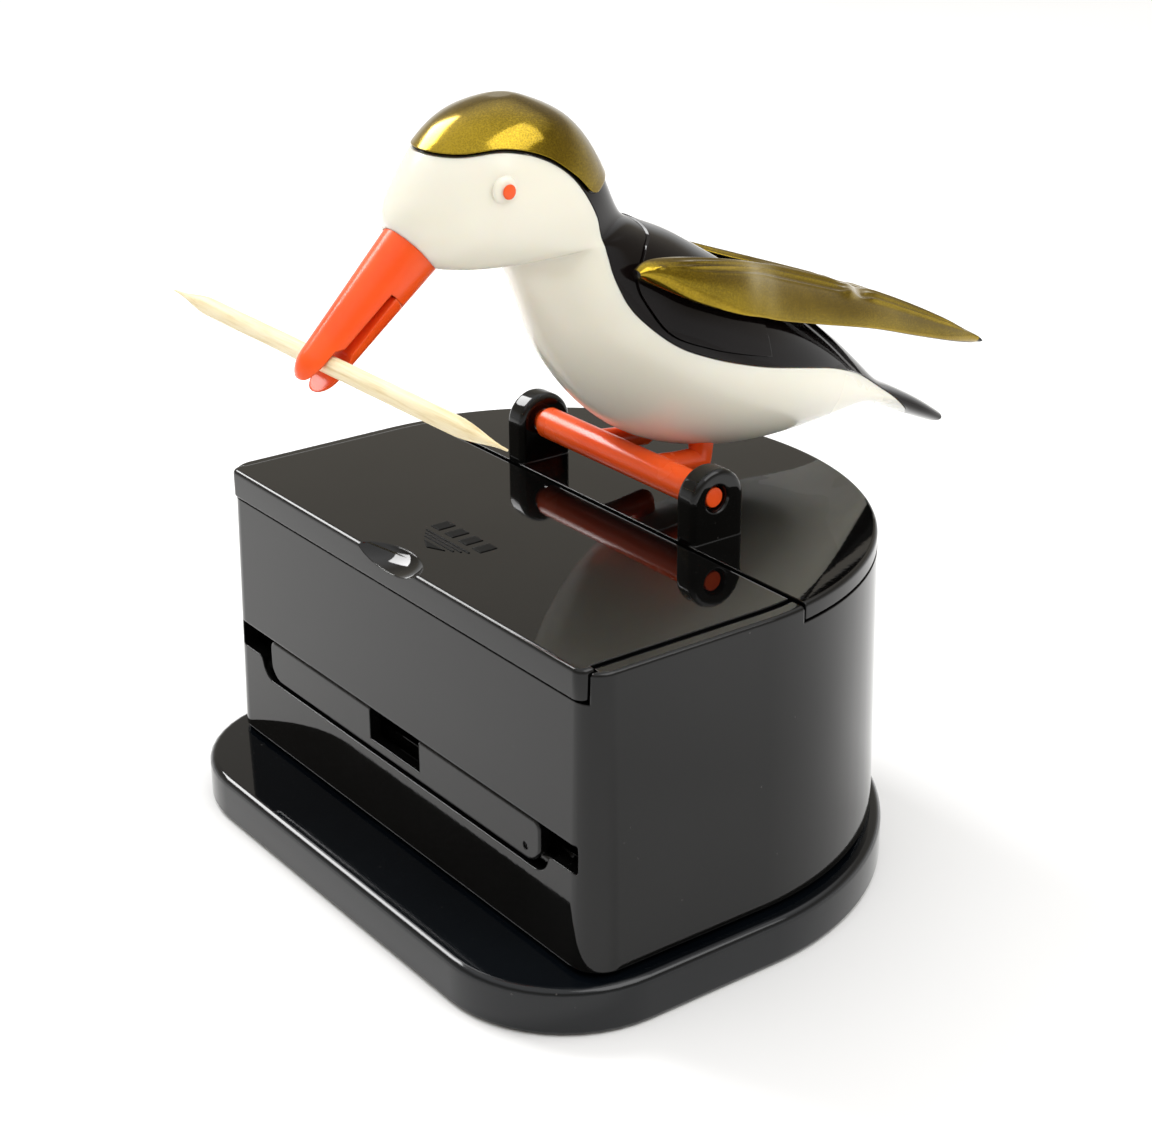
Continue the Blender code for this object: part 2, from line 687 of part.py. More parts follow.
def slit_region(grow):
    """The wedge between the jaws: narrow at its root and open at the tips."""
    axis = (BEAK_TIP - BEAK_BASE)
    length = axis.length
    axis.normalize()
    lift = axis.cross(Vector((1.0, 0.0, 0.0)))
    root = BEAK_BASE + axis * (length * SLIT_START)
    end = BEAK_TIP + axis * 4.0
    grip = PICK_CENTRE
    half_root = SLIT_WIDTH / 2 + grow
    line = [root + lift * half_root, root - lift * half_root]
    low = [grip - axis * 2.0 - lift * (PICK_RADIUS * 0.55 + grow),
           grip - axis * 1.1 - lift * (PICK_RADIUS + 0.3 + grow),
           grip + axis * 1.1 - lift * (PICK_RADIUS + 0.3 + grow),
           end - lift * (1.2 + grow)]
    high = [end + lift * (0.9 + grow),
            grip + axis * 1.1 + lift * (PICK_RADIUS + 0.3 + grow),
            grip - axis * 1.1 + lift * (PICK_RADIUS + 0.3 + grow),
            grip - axis * 2.0 + lift * (PICK_RADIUS * 0.55 + grow)]
    return side_prism([(point.y, point.z) for point in line + low + high], 12.0)


def jaw_region(grow):
    """Everything on the lower side of the slit, tipwards of the jaw's root."""
    axis = (BEAK_TIP - BEAK_BASE)
    length = axis.length
    axis.normalize()
    lift = axis.cross(Vector((1.0, 0.0, 0.0)))
    root = BEAK_BASE + axis * (length * SLIT_START - grow)
    end = BEAK_TIP + axis * 6.0
    points = [root, root - lift * 8.0, end - lift * 8.0, end, PICK_CENTRE]
    return side_prism([(point.y, point.z) for point in points], 12.0)


def make_beak(material, empty, jaw_empty):
    """Upper jaw with the beak's root, and the springy lower jaw that grips the pick."""
    upper = place_mesh("beak_upper", beak_solid(0.0, BEAK_ROOT), material, empty, PIVOT)
    cut(upper, slit_region(0.0), PIVOT)
    cut(upper, jaw_region(GAP), PIVOT)
    jaw = place_mesh("beak_lower", beak_solid(), material, jaw_empty, JAW_ROOT)
    keep(jaw, jaw_region(0.0), JAW_ROOT)
    cut(jaw, slit_region(0.0), JAW_ROOT)
    return upper, jaw


def make_pick(material, empty):
    """Round wooden toothpick, pointed at both ends."""
    profile = ((-1.0, 0.12), (-0.93, 0.45), (-0.86, 0.8), (-0.78, 1.0), (0.78, 1.0), (0.86, 0.8),
               (0.93, 0.45), (1.0, 0.12))
    rings = []
    for share, size in profile:
        rings.append([PICK_CENTRE + Vector((share * PICK_HALF,
                                            PICK_RADIUS * size * math.cos(2 * math.pi * s / 12),
                                            PICK_RADIUS * size * math.sin(2 * math.pi * s / 12)))
                      for s in range(12)])
    return place_mesh("toothpick", loft(rings), material, empty, PICK_CENTRE)


def make_eye(name, side, material, empty):
    """Small domed eye disc."""
    centre = Vector((side * EYE_X, EYE_Y, EYE_Z))
    return place_mesh(name, ball(centre, (0.45, 0.85, 0.85), 6), material, empty, PIVOT)


def wing_peg(side, grow):
    """The peg that holds a wing's root in the saddle."""
    return rod((side * PEG_X, PEG_Y, PEG_Z), (1, 0, 0), PEG_LONG + 2 * grow, PEG_RADIUS + grow, 12)


def make_wing(name, side, material, empty):
    """Leaf-shaped wing with its root peg."""
    rings = []
    for row in smooth_stations(WING_STATIONS, 2):
        high = Vector((side * row[0], row[1], row[2]))
        low = Vector((side * row[3], row[4], row[5]))
        middle = (high + low) / 2
        reach = (high - low) / 2
        out = Vector((side * abs(reach.z), 0.0, abs(reach.x))).normalized()
        ring = []
        for step in range(16):
            across = math.cos(2 * math.pi * step / 16)
            lift = row[6] * (1 - across ** 2) + WING_THICK * math.sin(2 * math.pi * step / 16)
            ring.append(middle + reach * across + out * lift)
        rings.append(ring)
    wing = place_mesh(name, loft(rings), material, empty, PIVOT)
    join(wing, wing_peg(side, 0.0), PIVOT)
    return wing


def give_own_materials():
    """Give each sub-part a material of its own, named after it."""
    for made in bpy.data.objects:
        if made.type != "EMPTY":
            own = made.data.materials[0].copy()
            own.name = made.name + "_material"
            made.data.materials[0] = own


def main():
    """Build every sub-part."""
    clear_scene()
    materials = {
        "black": plain_material("black_gloss", BLACK, 0.08),
        "cream": plain_material("cream_gloss", CREAM, 0.2),
        "orange": plain_material("orange_gloss", ORANGE, 0.25),
        "gold": plain_material("gold_paint", GOLD, 0.28, 0.9),
        "steel": plain_material("spring_steel", STEEL, 0.25, 1.0),
        "wood": plain_material("pale_wood", WOOD, 0.6),
    }
    bird = pivot_empty("bird_pivot", PIVOT)
    lid = pivot_empty("lid_pivot", LID_AXIS)
    gate = pivot_empty("gate_pivot", GATE_AXIS)
    make_base(materials["black"])
    make_housing(materials["black"])
    make_chute(materials["black"])
    make_cover(materials["black"])
    make_lid(materials["black"], lid)
    make_lid_pin("lid_pin_left", -1, materials["steel"])
    make_lid_pin("lid_pin_right", 1, materials["steel"])
    make_gate(materials["black"], gate)
    for index, (x, y) in enumerate(BOSS_PLACES):
        make_screw("base_screw_%d" % (index + 1), x, y, materials["steel"])
    make_bird_shells(materials, bird)
    make_perch(materials["orange"], bird)
    make_spring(materials["steel"])
    jaw = pivot_empty("jaw_pivot", JAW_ROOT, bird, PIVOT)
    make_beak(materials["orange"], bird, jaw)
    pick = pivot_empty("pick_slide", PICK_CENTRE, bird, PIVOT)
    make_pick(materials["wood"], pick)
    for name, side in (("left", -1), ("right", 1)):
        make_eye("eye_" + name, side, materials["orange"], bird)
        make_wing("wing_" + name, side, materials["gold"], bird)
    give_own_materials()


main()
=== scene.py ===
"""Looks of the bowing-bird toothpick dispenser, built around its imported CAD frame."""
import math

import bmesh
import bpy
from mathutils import Matrix, Vector, noise

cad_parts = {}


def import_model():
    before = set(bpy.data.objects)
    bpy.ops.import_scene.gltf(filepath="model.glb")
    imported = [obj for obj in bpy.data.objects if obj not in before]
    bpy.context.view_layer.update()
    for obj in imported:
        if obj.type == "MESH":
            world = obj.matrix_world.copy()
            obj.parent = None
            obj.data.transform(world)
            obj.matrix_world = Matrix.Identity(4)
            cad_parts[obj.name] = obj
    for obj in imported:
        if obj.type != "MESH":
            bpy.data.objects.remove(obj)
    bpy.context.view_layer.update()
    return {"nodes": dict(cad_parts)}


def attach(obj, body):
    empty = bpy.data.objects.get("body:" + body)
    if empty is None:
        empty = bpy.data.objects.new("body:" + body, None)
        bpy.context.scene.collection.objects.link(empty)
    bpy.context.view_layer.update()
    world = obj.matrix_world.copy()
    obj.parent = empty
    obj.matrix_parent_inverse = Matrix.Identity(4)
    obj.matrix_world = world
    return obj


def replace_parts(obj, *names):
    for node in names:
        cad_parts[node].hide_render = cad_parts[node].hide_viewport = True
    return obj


MM = 0.001

# Base plate and box, millimetres
BASE = dict(half=39.0, front=-9.4, corner=15.0, centre=22.5, back=36.2)
BASE_THICK = 5.5
TOP = 39.7
HALF = 36.2
CORNER = 3.0
ARC_CENTRE = 22.4
ARC_DEPTH = 35.2
DRAFT = 0.021
WALL = 1.8
GAP = 0.3
BODY_BOTTOM = 5.8
SLOT_LOW = 14.5
SLOT_HALF = 29.5
SLOT_TOP = 20.2
SLOT_CUT_BACK = 5.0
NOTCH_LOW = 17.0
NOTCH_HALF = 34.2
FAR = 60.0
BOSS_PLACES = ((-32.3, 13.0), (32.3, 13.0), (-21.8, 47.0), (21.8, 47.0))
BOSS_RADIUS = 3.2
BOSS_HALF_HEIGHT = 6.6
SCREW_HOLE = 1.5
SCREW_HEAD_HOLE = 2.6

# Lid, cover and gate
PLATE = 1.8
LID_HALF = HALF - WALL - GAP
SKIRT_HALF = 34.8
SKIRT_FRONT = -0.4
SKIRT_BACK = 1.3
SKIRT = 3.4
LID_AXIS = Vector((0.0, 25.9, 38.6))
LID_BEAD = 1.4
SEAM = 27.6
SCOOP_DROP = Vector((0.0, -1.4, 1.1))
SCOOP_RADII = (6.8, 4.6, 2.6)
MARK_SUNK = 0.06
MARK_RAISED = 0.07
GATE_HALF = 27.6
GATE_TOP = 19.8
GATE_LOW = 14.8
GATE_THICK = 1.4
GATE_FRONT = -0.3
WINDOW_HALF = 5.1
WINDOW_LOW = 16.0
GATE_AXIS = Vector((0.0, 0.6, 15.8))
TRUNNION_RADIUS = 0.5
TRUNNION_LENGTH = 5.0

# Ears, perch bar and spring
PIVOT = Vector((0.0, 30.9, 44.6))
EAR_INNER = 14.4
EAR_OUTER = 17.5
EAR_HALF = 3.6
EAR_Y = 31.2
EAR_TOP = 47.8
BAR_RADIUS = 1.85
JOURNAL = 1.15
EAR_CHAMFER_RADIUS = 1.9
POCKET_RADIUS = 2.35
POCKET_DEPTH = 1.3
LEG_X = 5.2
HEEL = Vector((0.0, 38.6, 43.9))
LEG_TOP = Vector((0.0, 38.9, 47.2))
LEG_RADIUS = 1.35
COIL_RADIUS = 1.75
COIL_TURNS = 1.6
WIRE_RADIUS = 0.25

# Bird: front (y, z), back (y, z), half width, from crown to tail tip
BIRD_STATIONS = (
    ((14.8, 86.95), (16.2, 87.0), 0.7),
    ((13.0, 86.8), (17.6, 86.85), 2.2),
    ((9.4, 85.6), (21.7, 85.2), 5.7),
    ((6.0, 83.0), (24.6, 82.5), 7.4),
    ((3.4, 79.2), (26.7, 79.0), 8.8),
    ((1.4, 75.1), (28.3, 75.7), 9.0),
    ((5.0, 70.5), (29.8, 73.3), 8.1),
    ((12.6, 71.3), (31.6, 72.2), 7.6),
    ((16.0, 69.4), (33.8, 71.2), 7.8),
    ((17.6, 66.3), (36.6, 69.9), 8.6),
    ((19.3, 62.4), (40.4, 67.6), 9.8),
    ((20.9, 58.4), (44.3, 65.2), 11.0),
    ((23.8, 54.2), (48.4, 62.5), 11.8),
    ((27.4, 50.2), (52.4, 59.9), 12.2),
    ((32.2, 46.8), (56.5, 57.1), 12.0),
    ((38.4, 44.7), (60.0, 54.5), 11.0),
    ((45.6, 43.9), (63.0, 52.0), 9.4),
    ((53.5, 44.4), (66.0, 49.2), 7.6),
    ((61.0, 45.1), (68.8, 46.6), 5.8),
    ((68.0, 43.6), (72.0, 44.9), 4.6),
    ((75.0, 40.4), (76.4, 42.5), 4.2),
    ((79.0, 38.7), (79.9, 40.2), 3.2),
)
PROUD = 0.35
CAP_SEAM = ((-2.0, 83.6), (4.4, 83.0), (7.4, 82.9), (11.5, 83.3), (15.6, 82.2), (19.1, 79.8),
            (21.7, 77.6))
CAP_REAR = ((24.2, 78.0), (31.0, 80.4))
FLANK_SEAM = (
    (21.9, 77.2), (22.1, 75.4), (22.9, 73.2), (23.6, 70.6), (24.4, 67.6), (26.2, 64.1),
    (30.2, 60.4), (35.0, 58.1), (41.5, 56.0), (48.3, 54.3), (53.8, 52.8), (58.0, 51.3),
    (62.4, 49.3), (67.4, 46.2), (71.8, 42.9), (84.0, 33.0),
)
SADDLE_SEAM = (
    (35.0, 78.0), (31.6, 72.2), (28.6, 70.4), (26.6, 67.6), (27.6, 64.6), (30.0, 61.4),
    (34.6, 59.3), (39.0, 57.9), (43.2, 56.8), (44.0, 70.0),
)
RIM_BAND = 0.3
CREASE = 0.06
EYE = Vector((8.3, 10.6, 79.5))
EYE_SINK = 0.5
EYE_RADII = (0.68, 1.5, 1.5)
PUPIL_STANDS_OUT = 0.29
PUPIL_RADII = (0.14, 0.78, 0.78)

# Beak and toothpick
BEAK_BASE = Vector((0.0, 4.6, 73.4))
BEAK_TIP = Vector((0.0, -9.0, 61.0))
BEAK_BASE_RADIUS = 3.35
BEAK_TIP_RADIUS = 2.3
SLIT_START = 0.33
BEAK_ROOT = -0.09
SLIT_WIDTH = 0.7
JAW_GAP = 0.04
PICK_CENTRE = Vector((0.0, -6.7, 63.0))
PICK_HALF = 32.5
PICK_RADIUS = 1.0

# Wing: upper edge (x, y, z), lower edge (x, y, z), outward bulge, from root to tip
WING_STATIONS = (
    (9.6, 25.6, 69.2, 9.8, 25.8, 68.2, 0.2),
    (9.0, 28.0, 69.8, 10.6, 28.6, 66.8, 0.5),
    (8.0, 34.2, 68.8, 11.6, 32.8, 64.7, 0.8),
    (5.2, 43.1, 66.1, 11.7, 38.7, 62.4, 1.2),
    (2.4, 49.0, 64.0, 11.2, 42.3, 61.3, 1.2),
    (1.2, 53.6, 62.6, 10.4, 46.0, 60.0, 1.0),
    (0.8, 61.2, 59.9, 8.6, 54.6, 57.5, 0.8),
    (0.8, 68.4, 57.2, 6.8, 63.8, 54.9, 0.5),
    (0.8, 75.4, 54.1, 5.0, 72.4, 52.0, 0.3),
    (0.9, 81.8, 50.8, 3.4, 80.5, 49.4, 0.2),
    (1.4, 87.0, 47.9, 1.5, 87.0, 47.5, 0.1),
)
WING_THICK = 0.7
COVERT_RIBS = 3.6
COVERT_HEIGHT = 0.46
FLIGHT_RIBS = 2.6
FLIGHT_HEIGHT = 0.40
BLACK_TIP_START = 0.972

# Camera
CAMERA_PLACE = Vector((0.18905, -0.11432, 0.13304))
CAMERA_AZIMUTH = math.radians(53.639)
CAMERA_ELEVATION = math.radians(23.219)
CAMERA_ROLL = math.radians(-0.347)
CAMERA_LENS = 69.86

# Table and lights: metres, except the table in millimetres
TABLE_RADIUS = 2600.0
LIT_POINT = (0, 0.02, 0.05)
KEY_PLACE = (-0.46, -0.07, 0.42)
KEY_SIZE = (0.26, 0.20)
KEY_WATTS = 2.3
FILL_PLACE = (0.30, 0.15, 0.55)
FILL_SIZE = (0.5, 0.4)
FILL_WATTS = 1.6


# ---------------------------------------------------------------- shapes

def loft(rings):
    """A closed solid through rings of equal point count, with flat ends."""
    shape = bmesh.new()
    rows = [[shape.verts.new(point) for point in ring] for ring in rings]
    count = len(rows[0])
    for lower, upper in zip(rows, rows[1:]):
        for index in range(count):
            after = (index + 1) % count
            shape.faces.new((lower[index], lower[after], upper[after], upper[index]))
    shape.faces.new(list(reversed(rows[0])))
    shape.faces.new(rows[-1])
    return shape


def box(x0, x1, y0, y1, z0, z1):
    """An upright block between two corners, used only to cut with."""
    corners = ((x0, y0), (x1, y0), (x1, y1), (x0, y1))
    return loft([[Vector((x, y, z)) for x, y in corners] for z in (z0, z1)])


def side_prism(outline, half):
    """A solid of one side-view outline (y, z), across x from -half to half."""
    return loft([[Vector((x, y, z)) for y, z in outline] for x in (-half, half)])


def axis_frame(axis):
    """Two unit vectors square to an axis."""
    axis = Vector(axis).normalized()
    first = axis.orthogonal().normalized()
    return first, axis.cross(first)


def turned(centre, axis, profile, segments=64):
    """A turned solid: profile rows are (distance along the axis, radius)."""
    centre = Vector(centre)
    unit = Vector(axis).normalized()
    first, second = axis_frame(axis)
    rings = []
    for along, radius in profile:
        rings.append([centre + unit * along
                      + first * radius * math.cos(2 * math.pi * step / segments)
                      + second * radius * math.sin(2 * math.pi * step / segments)
                      for step in range(segments)])
    return loft(rings)


def rounded_rod(centre, axis, length, radius, soft=0.2, segments=64):
    """A rod with rounded rims."""
    half = length / 2
    profile = [(-half, radius - soft), (-half + soft * 0.3, radius - soft * 0.3),
               (-half + soft, radius), (half - soft, radius),
               (half - soft * 0.3, radius - soft * 0.3), (half, radius - soft)]
    return turned(centre, axis, profile, segments)


def ball(centre, radii, rings=24):
    """An ellipsoid."""
    shape = bmesh.new()
    bmesh.ops.create_uvsphere(shape, u_segments=2 * rings, v_segments=rings, radius=1.0,
                              matrix=Matrix.Translation(centre) @ Matrix.Diagonal((*radii, 1.0)))
    return shape


def d_outline(inset, z, half=HALF, front=0.0, corner=CORNER, centre=ARC_CENTRE,
              back=ARC_DEPTH, per_corner=12, per_back=120):
    """A D-shaped outline at height z: straight front, round corners, half-oval back."""
    half -= inset
    front += inset
    corner = max(corner - inset, 0.3)
    back -= inset
    points = []
    for step in range(per_corner + 1):
        angle = -math.pi / 2 + math.pi / 2 * step / per_corner
        points.append((half - corner + corner * math.cos(angle),
                       front + corner + corner * math.sin(angle)))
    for step in range(per_back + 1):
        angle = math.pi * step / per_back
        points.append((half * math.cos(angle), centre + back * math.sin(angle)))
    for step in range(per_corner + 1):
        angle = math.pi + math.pi / 2 * step / per_corner
        points.append((-half + corner + corner * math.cos(angle),
                       front + corner + corner * math.sin(angle)))
    return [Vector((x, y, z)) for x, y in points]


def body_ring(z, inset=0.0):
    """The box's outline at height z, with its draft."""
    return d_outline(inset - DRAFT * (TOP - z), z)


def soft_rim(top, radius, steps=5):
    """Heights and insets of a rounded top rim."""
    rows = []
    for step in range(steps + 1):
        angle = math.pi / 2 * step / steps
        rows.append((top - radius + radius * math.sin(angle), radius - radius * math.cos(angle)))
    return rows


def smooth_stations(stations, steps):
    """Catmull-Rom interpolation of equal-length number rows."""
    rows = []
    last = len(stations) - 1
    for index in range(last):
        p0 = stations[max(index - 1, 0)]
        p1 = stations[index]
        p2 = stations[index + 1]
        p3 = stations[min(index + 2, last)]
        for step in range(steps):
            t = step / steps
            rows.append([0.5 * (2 * b + (c - a) * t + (2 * a - 5 * b + 4 * c - d) * t * t
                                + (3 * b - a - 3 * c + d) * t ** 3)
                         for a, b, c, d in zip(p0, p1, p2, p3)])
    rows.append(list(stations[last]))
    return rows


def relaxed(rows, passes):
    """Evens out rows of numbers, keeping the ends."""
    for _ in range(passes):
        rows = [rows[0]] + [[(a + 2 * b + c) / 4 for a, b, c in zip(before, row, after)]
                            for before, row, after in zip(rows, rows[1:], rows[2:])] + [rows[-1]]
    return rows


def ease(low, high, value):
    """Smooth step from 0 at low to 1 at high."""
    share = min(max((value - low) / (high - low), 0.0), 1.0)
    return share * share * (3 - 2 * share)


# ---------------------------------------------------------------- objects

def piece(name, shape, material):
    """Turn a bmesh in millimetres into an object in metres."""
    bmesh.ops.remove_doubles(shape, verts=shape.verts, dist=1e-4)
    bmesh.ops.recalc_face_normals(shape, faces=shape.faces)
    bmesh.ops.transform(shape, matrix=Matrix.Scale(MM, 4), verts=shape.verts)
    mesh = bpy.data.meshes.new(name)
    shape.to_mesh(mesh)
    shape.free()
    mesh.materials.append(material)
    made = bpy.data.objects.new(name, mesh)
    bpy.context.scene.collection.objects.link(made)
    return made


def combine(target, shape, operation):
    """Apply one exact Boolean with a tool shape given in millimetres."""
    tool = piece("tool", shape, target.data.materials[0])
    step = target.modifiers.new("step", "BOOLEAN")
    step.operation = operation
    step.solver = "EXACT"
    step.object = tool
    bpy.context.view_layer.update()
    evaluated = target.evaluated_get(bpy.context.evaluated_depsgraph_get())
    result = bpy.data.meshes.new_from_object(evaluated)
    result.name = target.name
    target.modifiers.clear()
    before = target.data
    target.data = result
    bpy.data.meshes.remove(before)
    bpy.data.objects.remove(tool, do_unlink=True)


def cut(target, *shapes):
    """Take shapes away from an object."""
    for shape in shapes:
        combine(target, shape, "DIFFERENCE")


def join(target, *shapes):
    """Add shapes to an object."""
    for shape in shapes:
        combine(target, shape, "UNION")


def keep(target, shape):
    """Keep only what lies inside a shape."""
    combine(target, shape, "INTERSECT")


def combined(first, second, operation):
    """The Boolean of two shapes, as a new shape in millimetres."""
    whole = piece("whole", first, None)
    combine(whole, second, operation)
    shape = bmesh.new()
    shape.from_mesh(whole.data)
    bmesh.ops.transform(shape, matrix=Matrix.Scale(1 / MM, 4), verts=shape.verts)
    bpy.data.objects.remove(whole, do_unlink=True)
    return shape


def seat(made, body, material_slot, *nodes, sharp=38.0, weighted=True):
    """Shade a finished piece, put it on its body and let it stand for its CAD nodes."""
    made.data.shade_smooth()
    made.data.set_sharp_from_angle(angle=math.radians(sharp))
    if weighted:
        even = made.modifiers.new("even_normals", "WEIGHTED_NORMAL")
        even.keep_sharp = True
        even.weight = 80
    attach(made, body)
    if nodes:
        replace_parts(made, *nodes)
    return made


# ---------------------------------------------------------------- materials

def add_node(tree, kind, settings=None, **sockets):
    """A shader node with its settings and its sockets, by name with _ for a space."""
    made = tree.nodes.new(kind)
    for key, value in (settings or {}).items():
        setattr(made, key, value)
    for key, value in sockets.items():
        socket = made.inputs[key.replace("_", " ")]
        if isinstance(value, bpy.types.NodeSocket):
            tree.links.new(value, socket)
        else:
            socket.default_value = value
    return made


def ramp(tree, factor, *stops):
    """A colour ramp; each stop is (place, colour)."""
    made = tree.nodes.new("ShaderNodeValToRGB")
    tree.links.new(factor, made.inputs["Fac"])
    elements = made.color_ramp.elements
    while len(elements) < len(stops):
        elements.new(0.5)
    for element, (place, colour) in zip(elements, stops):
        element.position = place
        element.color = (*colour, 1.0)
    return made.outputs["Color"]


def spread(tree, value, low, high, start=0.0, end=1.0):
    """Map a value from start..end onto low..high."""
    return add_node(tree, "ShaderNodeMapRange", None, Value=value, From_Min=start, From_Max=end,
                    To_Min=low, To_Max=high).outputs["Result"]


def grain(tree, place, scale, detail=3.0, roughness=0.5):
    """Noise in object space, scale in features per metre."""
    return add_node(tree, "ShaderNodeTexNoise", None, Vector=place, Scale=scale, Detail=detail,
                    Roughness=roughness).outputs["Fac"]


def begin(name):
    """A new node material, its tree, shader and object-space place."""
    made = bpy.data.materials.new(name)
    made.use_nodes = True
    tree = made.node_tree
    shader = tree.nodes["Principled BSDF"]
    place = tree.nodes.new("ShaderNodeTexCoord").outputs["Object"]
    return made, tree, shader, place


def relief(tree, shader, height, depth, strength=1.0, edge=0.0):
    """Bump from a height, over edges rounded by a radius."""
    bump = add_node(tree, "ShaderNodeBump", None, Height=height, Strength=strength, Distance=depth)
    if edge:
        rounded = add_node(tree, "ShaderNodeBevel", {"samples": 6}, Radius=edge)
        tree.links.new(rounded.outputs["Normal"], bump.inputs["Normal"])
    tree.links.new(bump.outputs["Normal"], shader.inputs["Normal"])


def black_plastic(name, low, high, rough=(0.02, 0.06), edge=0.00022, shine=0.5):
    """Glossy injection-moulded black, with faint flow, orange peel and settled dust."""
    made, tree, shader, place = begin(name)
    flow = grain(tree, place, 55.0, 4.0)
    fine = grain(tree, place, 1400.0, 2.0)
    specks = add_node(tree, "ShaderNodeTexVoronoi", None, Vector=place, Scale=420.0)
    dust = spread(tree, specks.outputs["Distance"], 0.22, 0.0, 0.03, 0.055)
    patches = spread(tree, grain(tree, place, 90.0, 2.0), 0.0, 1.0, 0.52, 0.66)
    amount = add_node(tree, "ShaderNodeMath", {"operation": "MULTIPLY", "use_clamp": True})
    tree.links.new(dust, amount.inputs[0])
    tree.links.new(patches, amount.inputs[1])
    body = ramp(tree, flow, (0.3, low), (0.7, high))
    mix = add_node(tree, "ShaderNodeMix", {"data_type": "RGBA"})
    tree.links.new(amount.outputs[0], mix.inputs["Factor"])
    tree.links.new(body, mix.inputs[6])
    mix.inputs[7].default_value = (0.20, 0.19, 0.18, 1.0)
    tree.links.new(mix.outputs[2], shader.inputs["Base Color"])
    tree.links.new(spread(tree, flow, rough[0], rough[1], 0.3, 0.7), shader.inputs["Roughness"])
    shader.inputs["IOR"].default_value = 1.45
    shader.inputs["Specular IOR Level"].default_value = shine
    relief(tree, shader, fine, 0.000004, 0.5, edge)
    return made


def cream_plastic():
    """Warm white moulded plastic with a little depth."""
    made, tree, shader, place = begin("cream_moulded")
    cloud = grain(tree, place, 38.0, 4.0)
    fine = grain(tree, place, 1300.0, 2.0)
    colour = ramp(tree, cloud, (0.25, (0.82, 0.785, 0.655)), (0.75, (0.87, 0.845, 0.745)))
    tree.links.new(colour, shader.inputs["Base Color"])
    tree.links.new(spread(tree, cloud, 0.20, 0.30, 0.3, 0.7), shader.inputs["Roughness"])
    shader.inputs["Subsurface Weight"].default_value = 0.35
    shader.inputs["Subsurface Radius"].default_value = (1.0, 0.72, 0.45)
    shader.inputs["Subsurface Scale"].default_value = 0.0016
    shader.inputs["Coat Weight"].default_value = 0.25
    shader.inputs["Coat Roughness"].default_value = 0.08
    relief(tree, shader, fine, 0.000006, 0.5, 0.00025)
    return made


def gold_paint():
    """Metallic gold lacquer: fine flakes, cloudy thickness and worn darker lows."""
    made, tree, shader, place = begin("gold_lacquer")
    cloud = grain(tree, place, 70.0, 4.0)
    flakes = add_node(tree, "ShaderNodeTexVoronoi", None, Vector=place, Scale=5200.0)
    mixed = add_node(tree, "ShaderNodeMath", {"operation": "MULTIPLY_ADD"})
    tree.links.new(flakes.outputs["Distance"], mixed.inputs[0])
    mixed.inputs[1].default_value = 0.35
    tree.links.new(cloud, mixed.inputs[2])
    colour = ramp(tree, mixed.outputs[0], (0.35, (0.125, 0.080, 0.003)),
                  (0.85, (0.36, 0.245, 0.016)))
    tree.links.new(colour, shader.inputs["Base Color"])
    shader.inputs["Metallic"].default_value = 0.98
    tree.links.new(spread(tree, cloud, 0.10, 0.18, 0.3, 0.7), shader.inputs["Roughness"])
    shader.inputs["Coat Weight"].default_value = 0.15
    shader.inputs["Coat Roughness"].default_value = 0.06
    relief(tree, shader, flakes.outputs["Distance"], 0.00001, 0.22, 0.00015)
    return made


def orange_plastic():
    """Orange moulded plastic with soft depth and a slightly waxy face."""
    made, tree, shader, place = begin("orange_moulded")
    cloud = grain(tree, place, 110.0, 4.0)
    fine = grain(tree, place, 1700.0, 2.0)
    colour = ramp(tree, cloud, (0.25, (0.88, 0.078, 0.010)), (0.75, (0.98, 0.118, 0.014)))
    tree.links.new(colour, shader.inputs["Base Color"])
    tree.links.new(spread(tree, cloud, 0.18, 0.30, 0.3, 0.7), shader.inputs["Roughness"])
    shader.inputs["Specular IOR Level"].default_value = 0.36
    shader.inputs["Subsurface Weight"].default_value = 0.12
    shader.inputs["Subsurface Radius"].default_value = (1.0, 0.35, 0.15)
    shader.inputs["Subsurface Scale"].default_value = 0.0009
    relief(tree, shader, fine, 0.000008, 0.6, 0.00022)
    return made


def steel(name, tone):
    """Drawn wire and plated steel: fine streaks and faint stains."""
    made, tree, shader, place = begin(name)
    stretched = add_node(tree, "ShaderNodeMapping", None, Vector=place, Scale=(1.0, 1.0, 0.08))
    streak = grain(tree, stretched.outputs["Vector"], 2600.0, 3.0)
    stain = grain(tree, place, 300.0, 3.0)
    dull = tuple(channel * 0.72 for channel in tone)
    tree.links.new(ramp(tree, stain, (0.3, dull), (0.65, tone)), shader.inputs["Base Color"])
    shader.inputs["Metallic"].default_value = 1.0
    tree.links.new(spread(tree, streak, 0.18, 0.38, 0.3, 0.7), shader.inputs["Roughness"])
    relief(tree, shader, streak, 0.000008, 0.5)
    return made


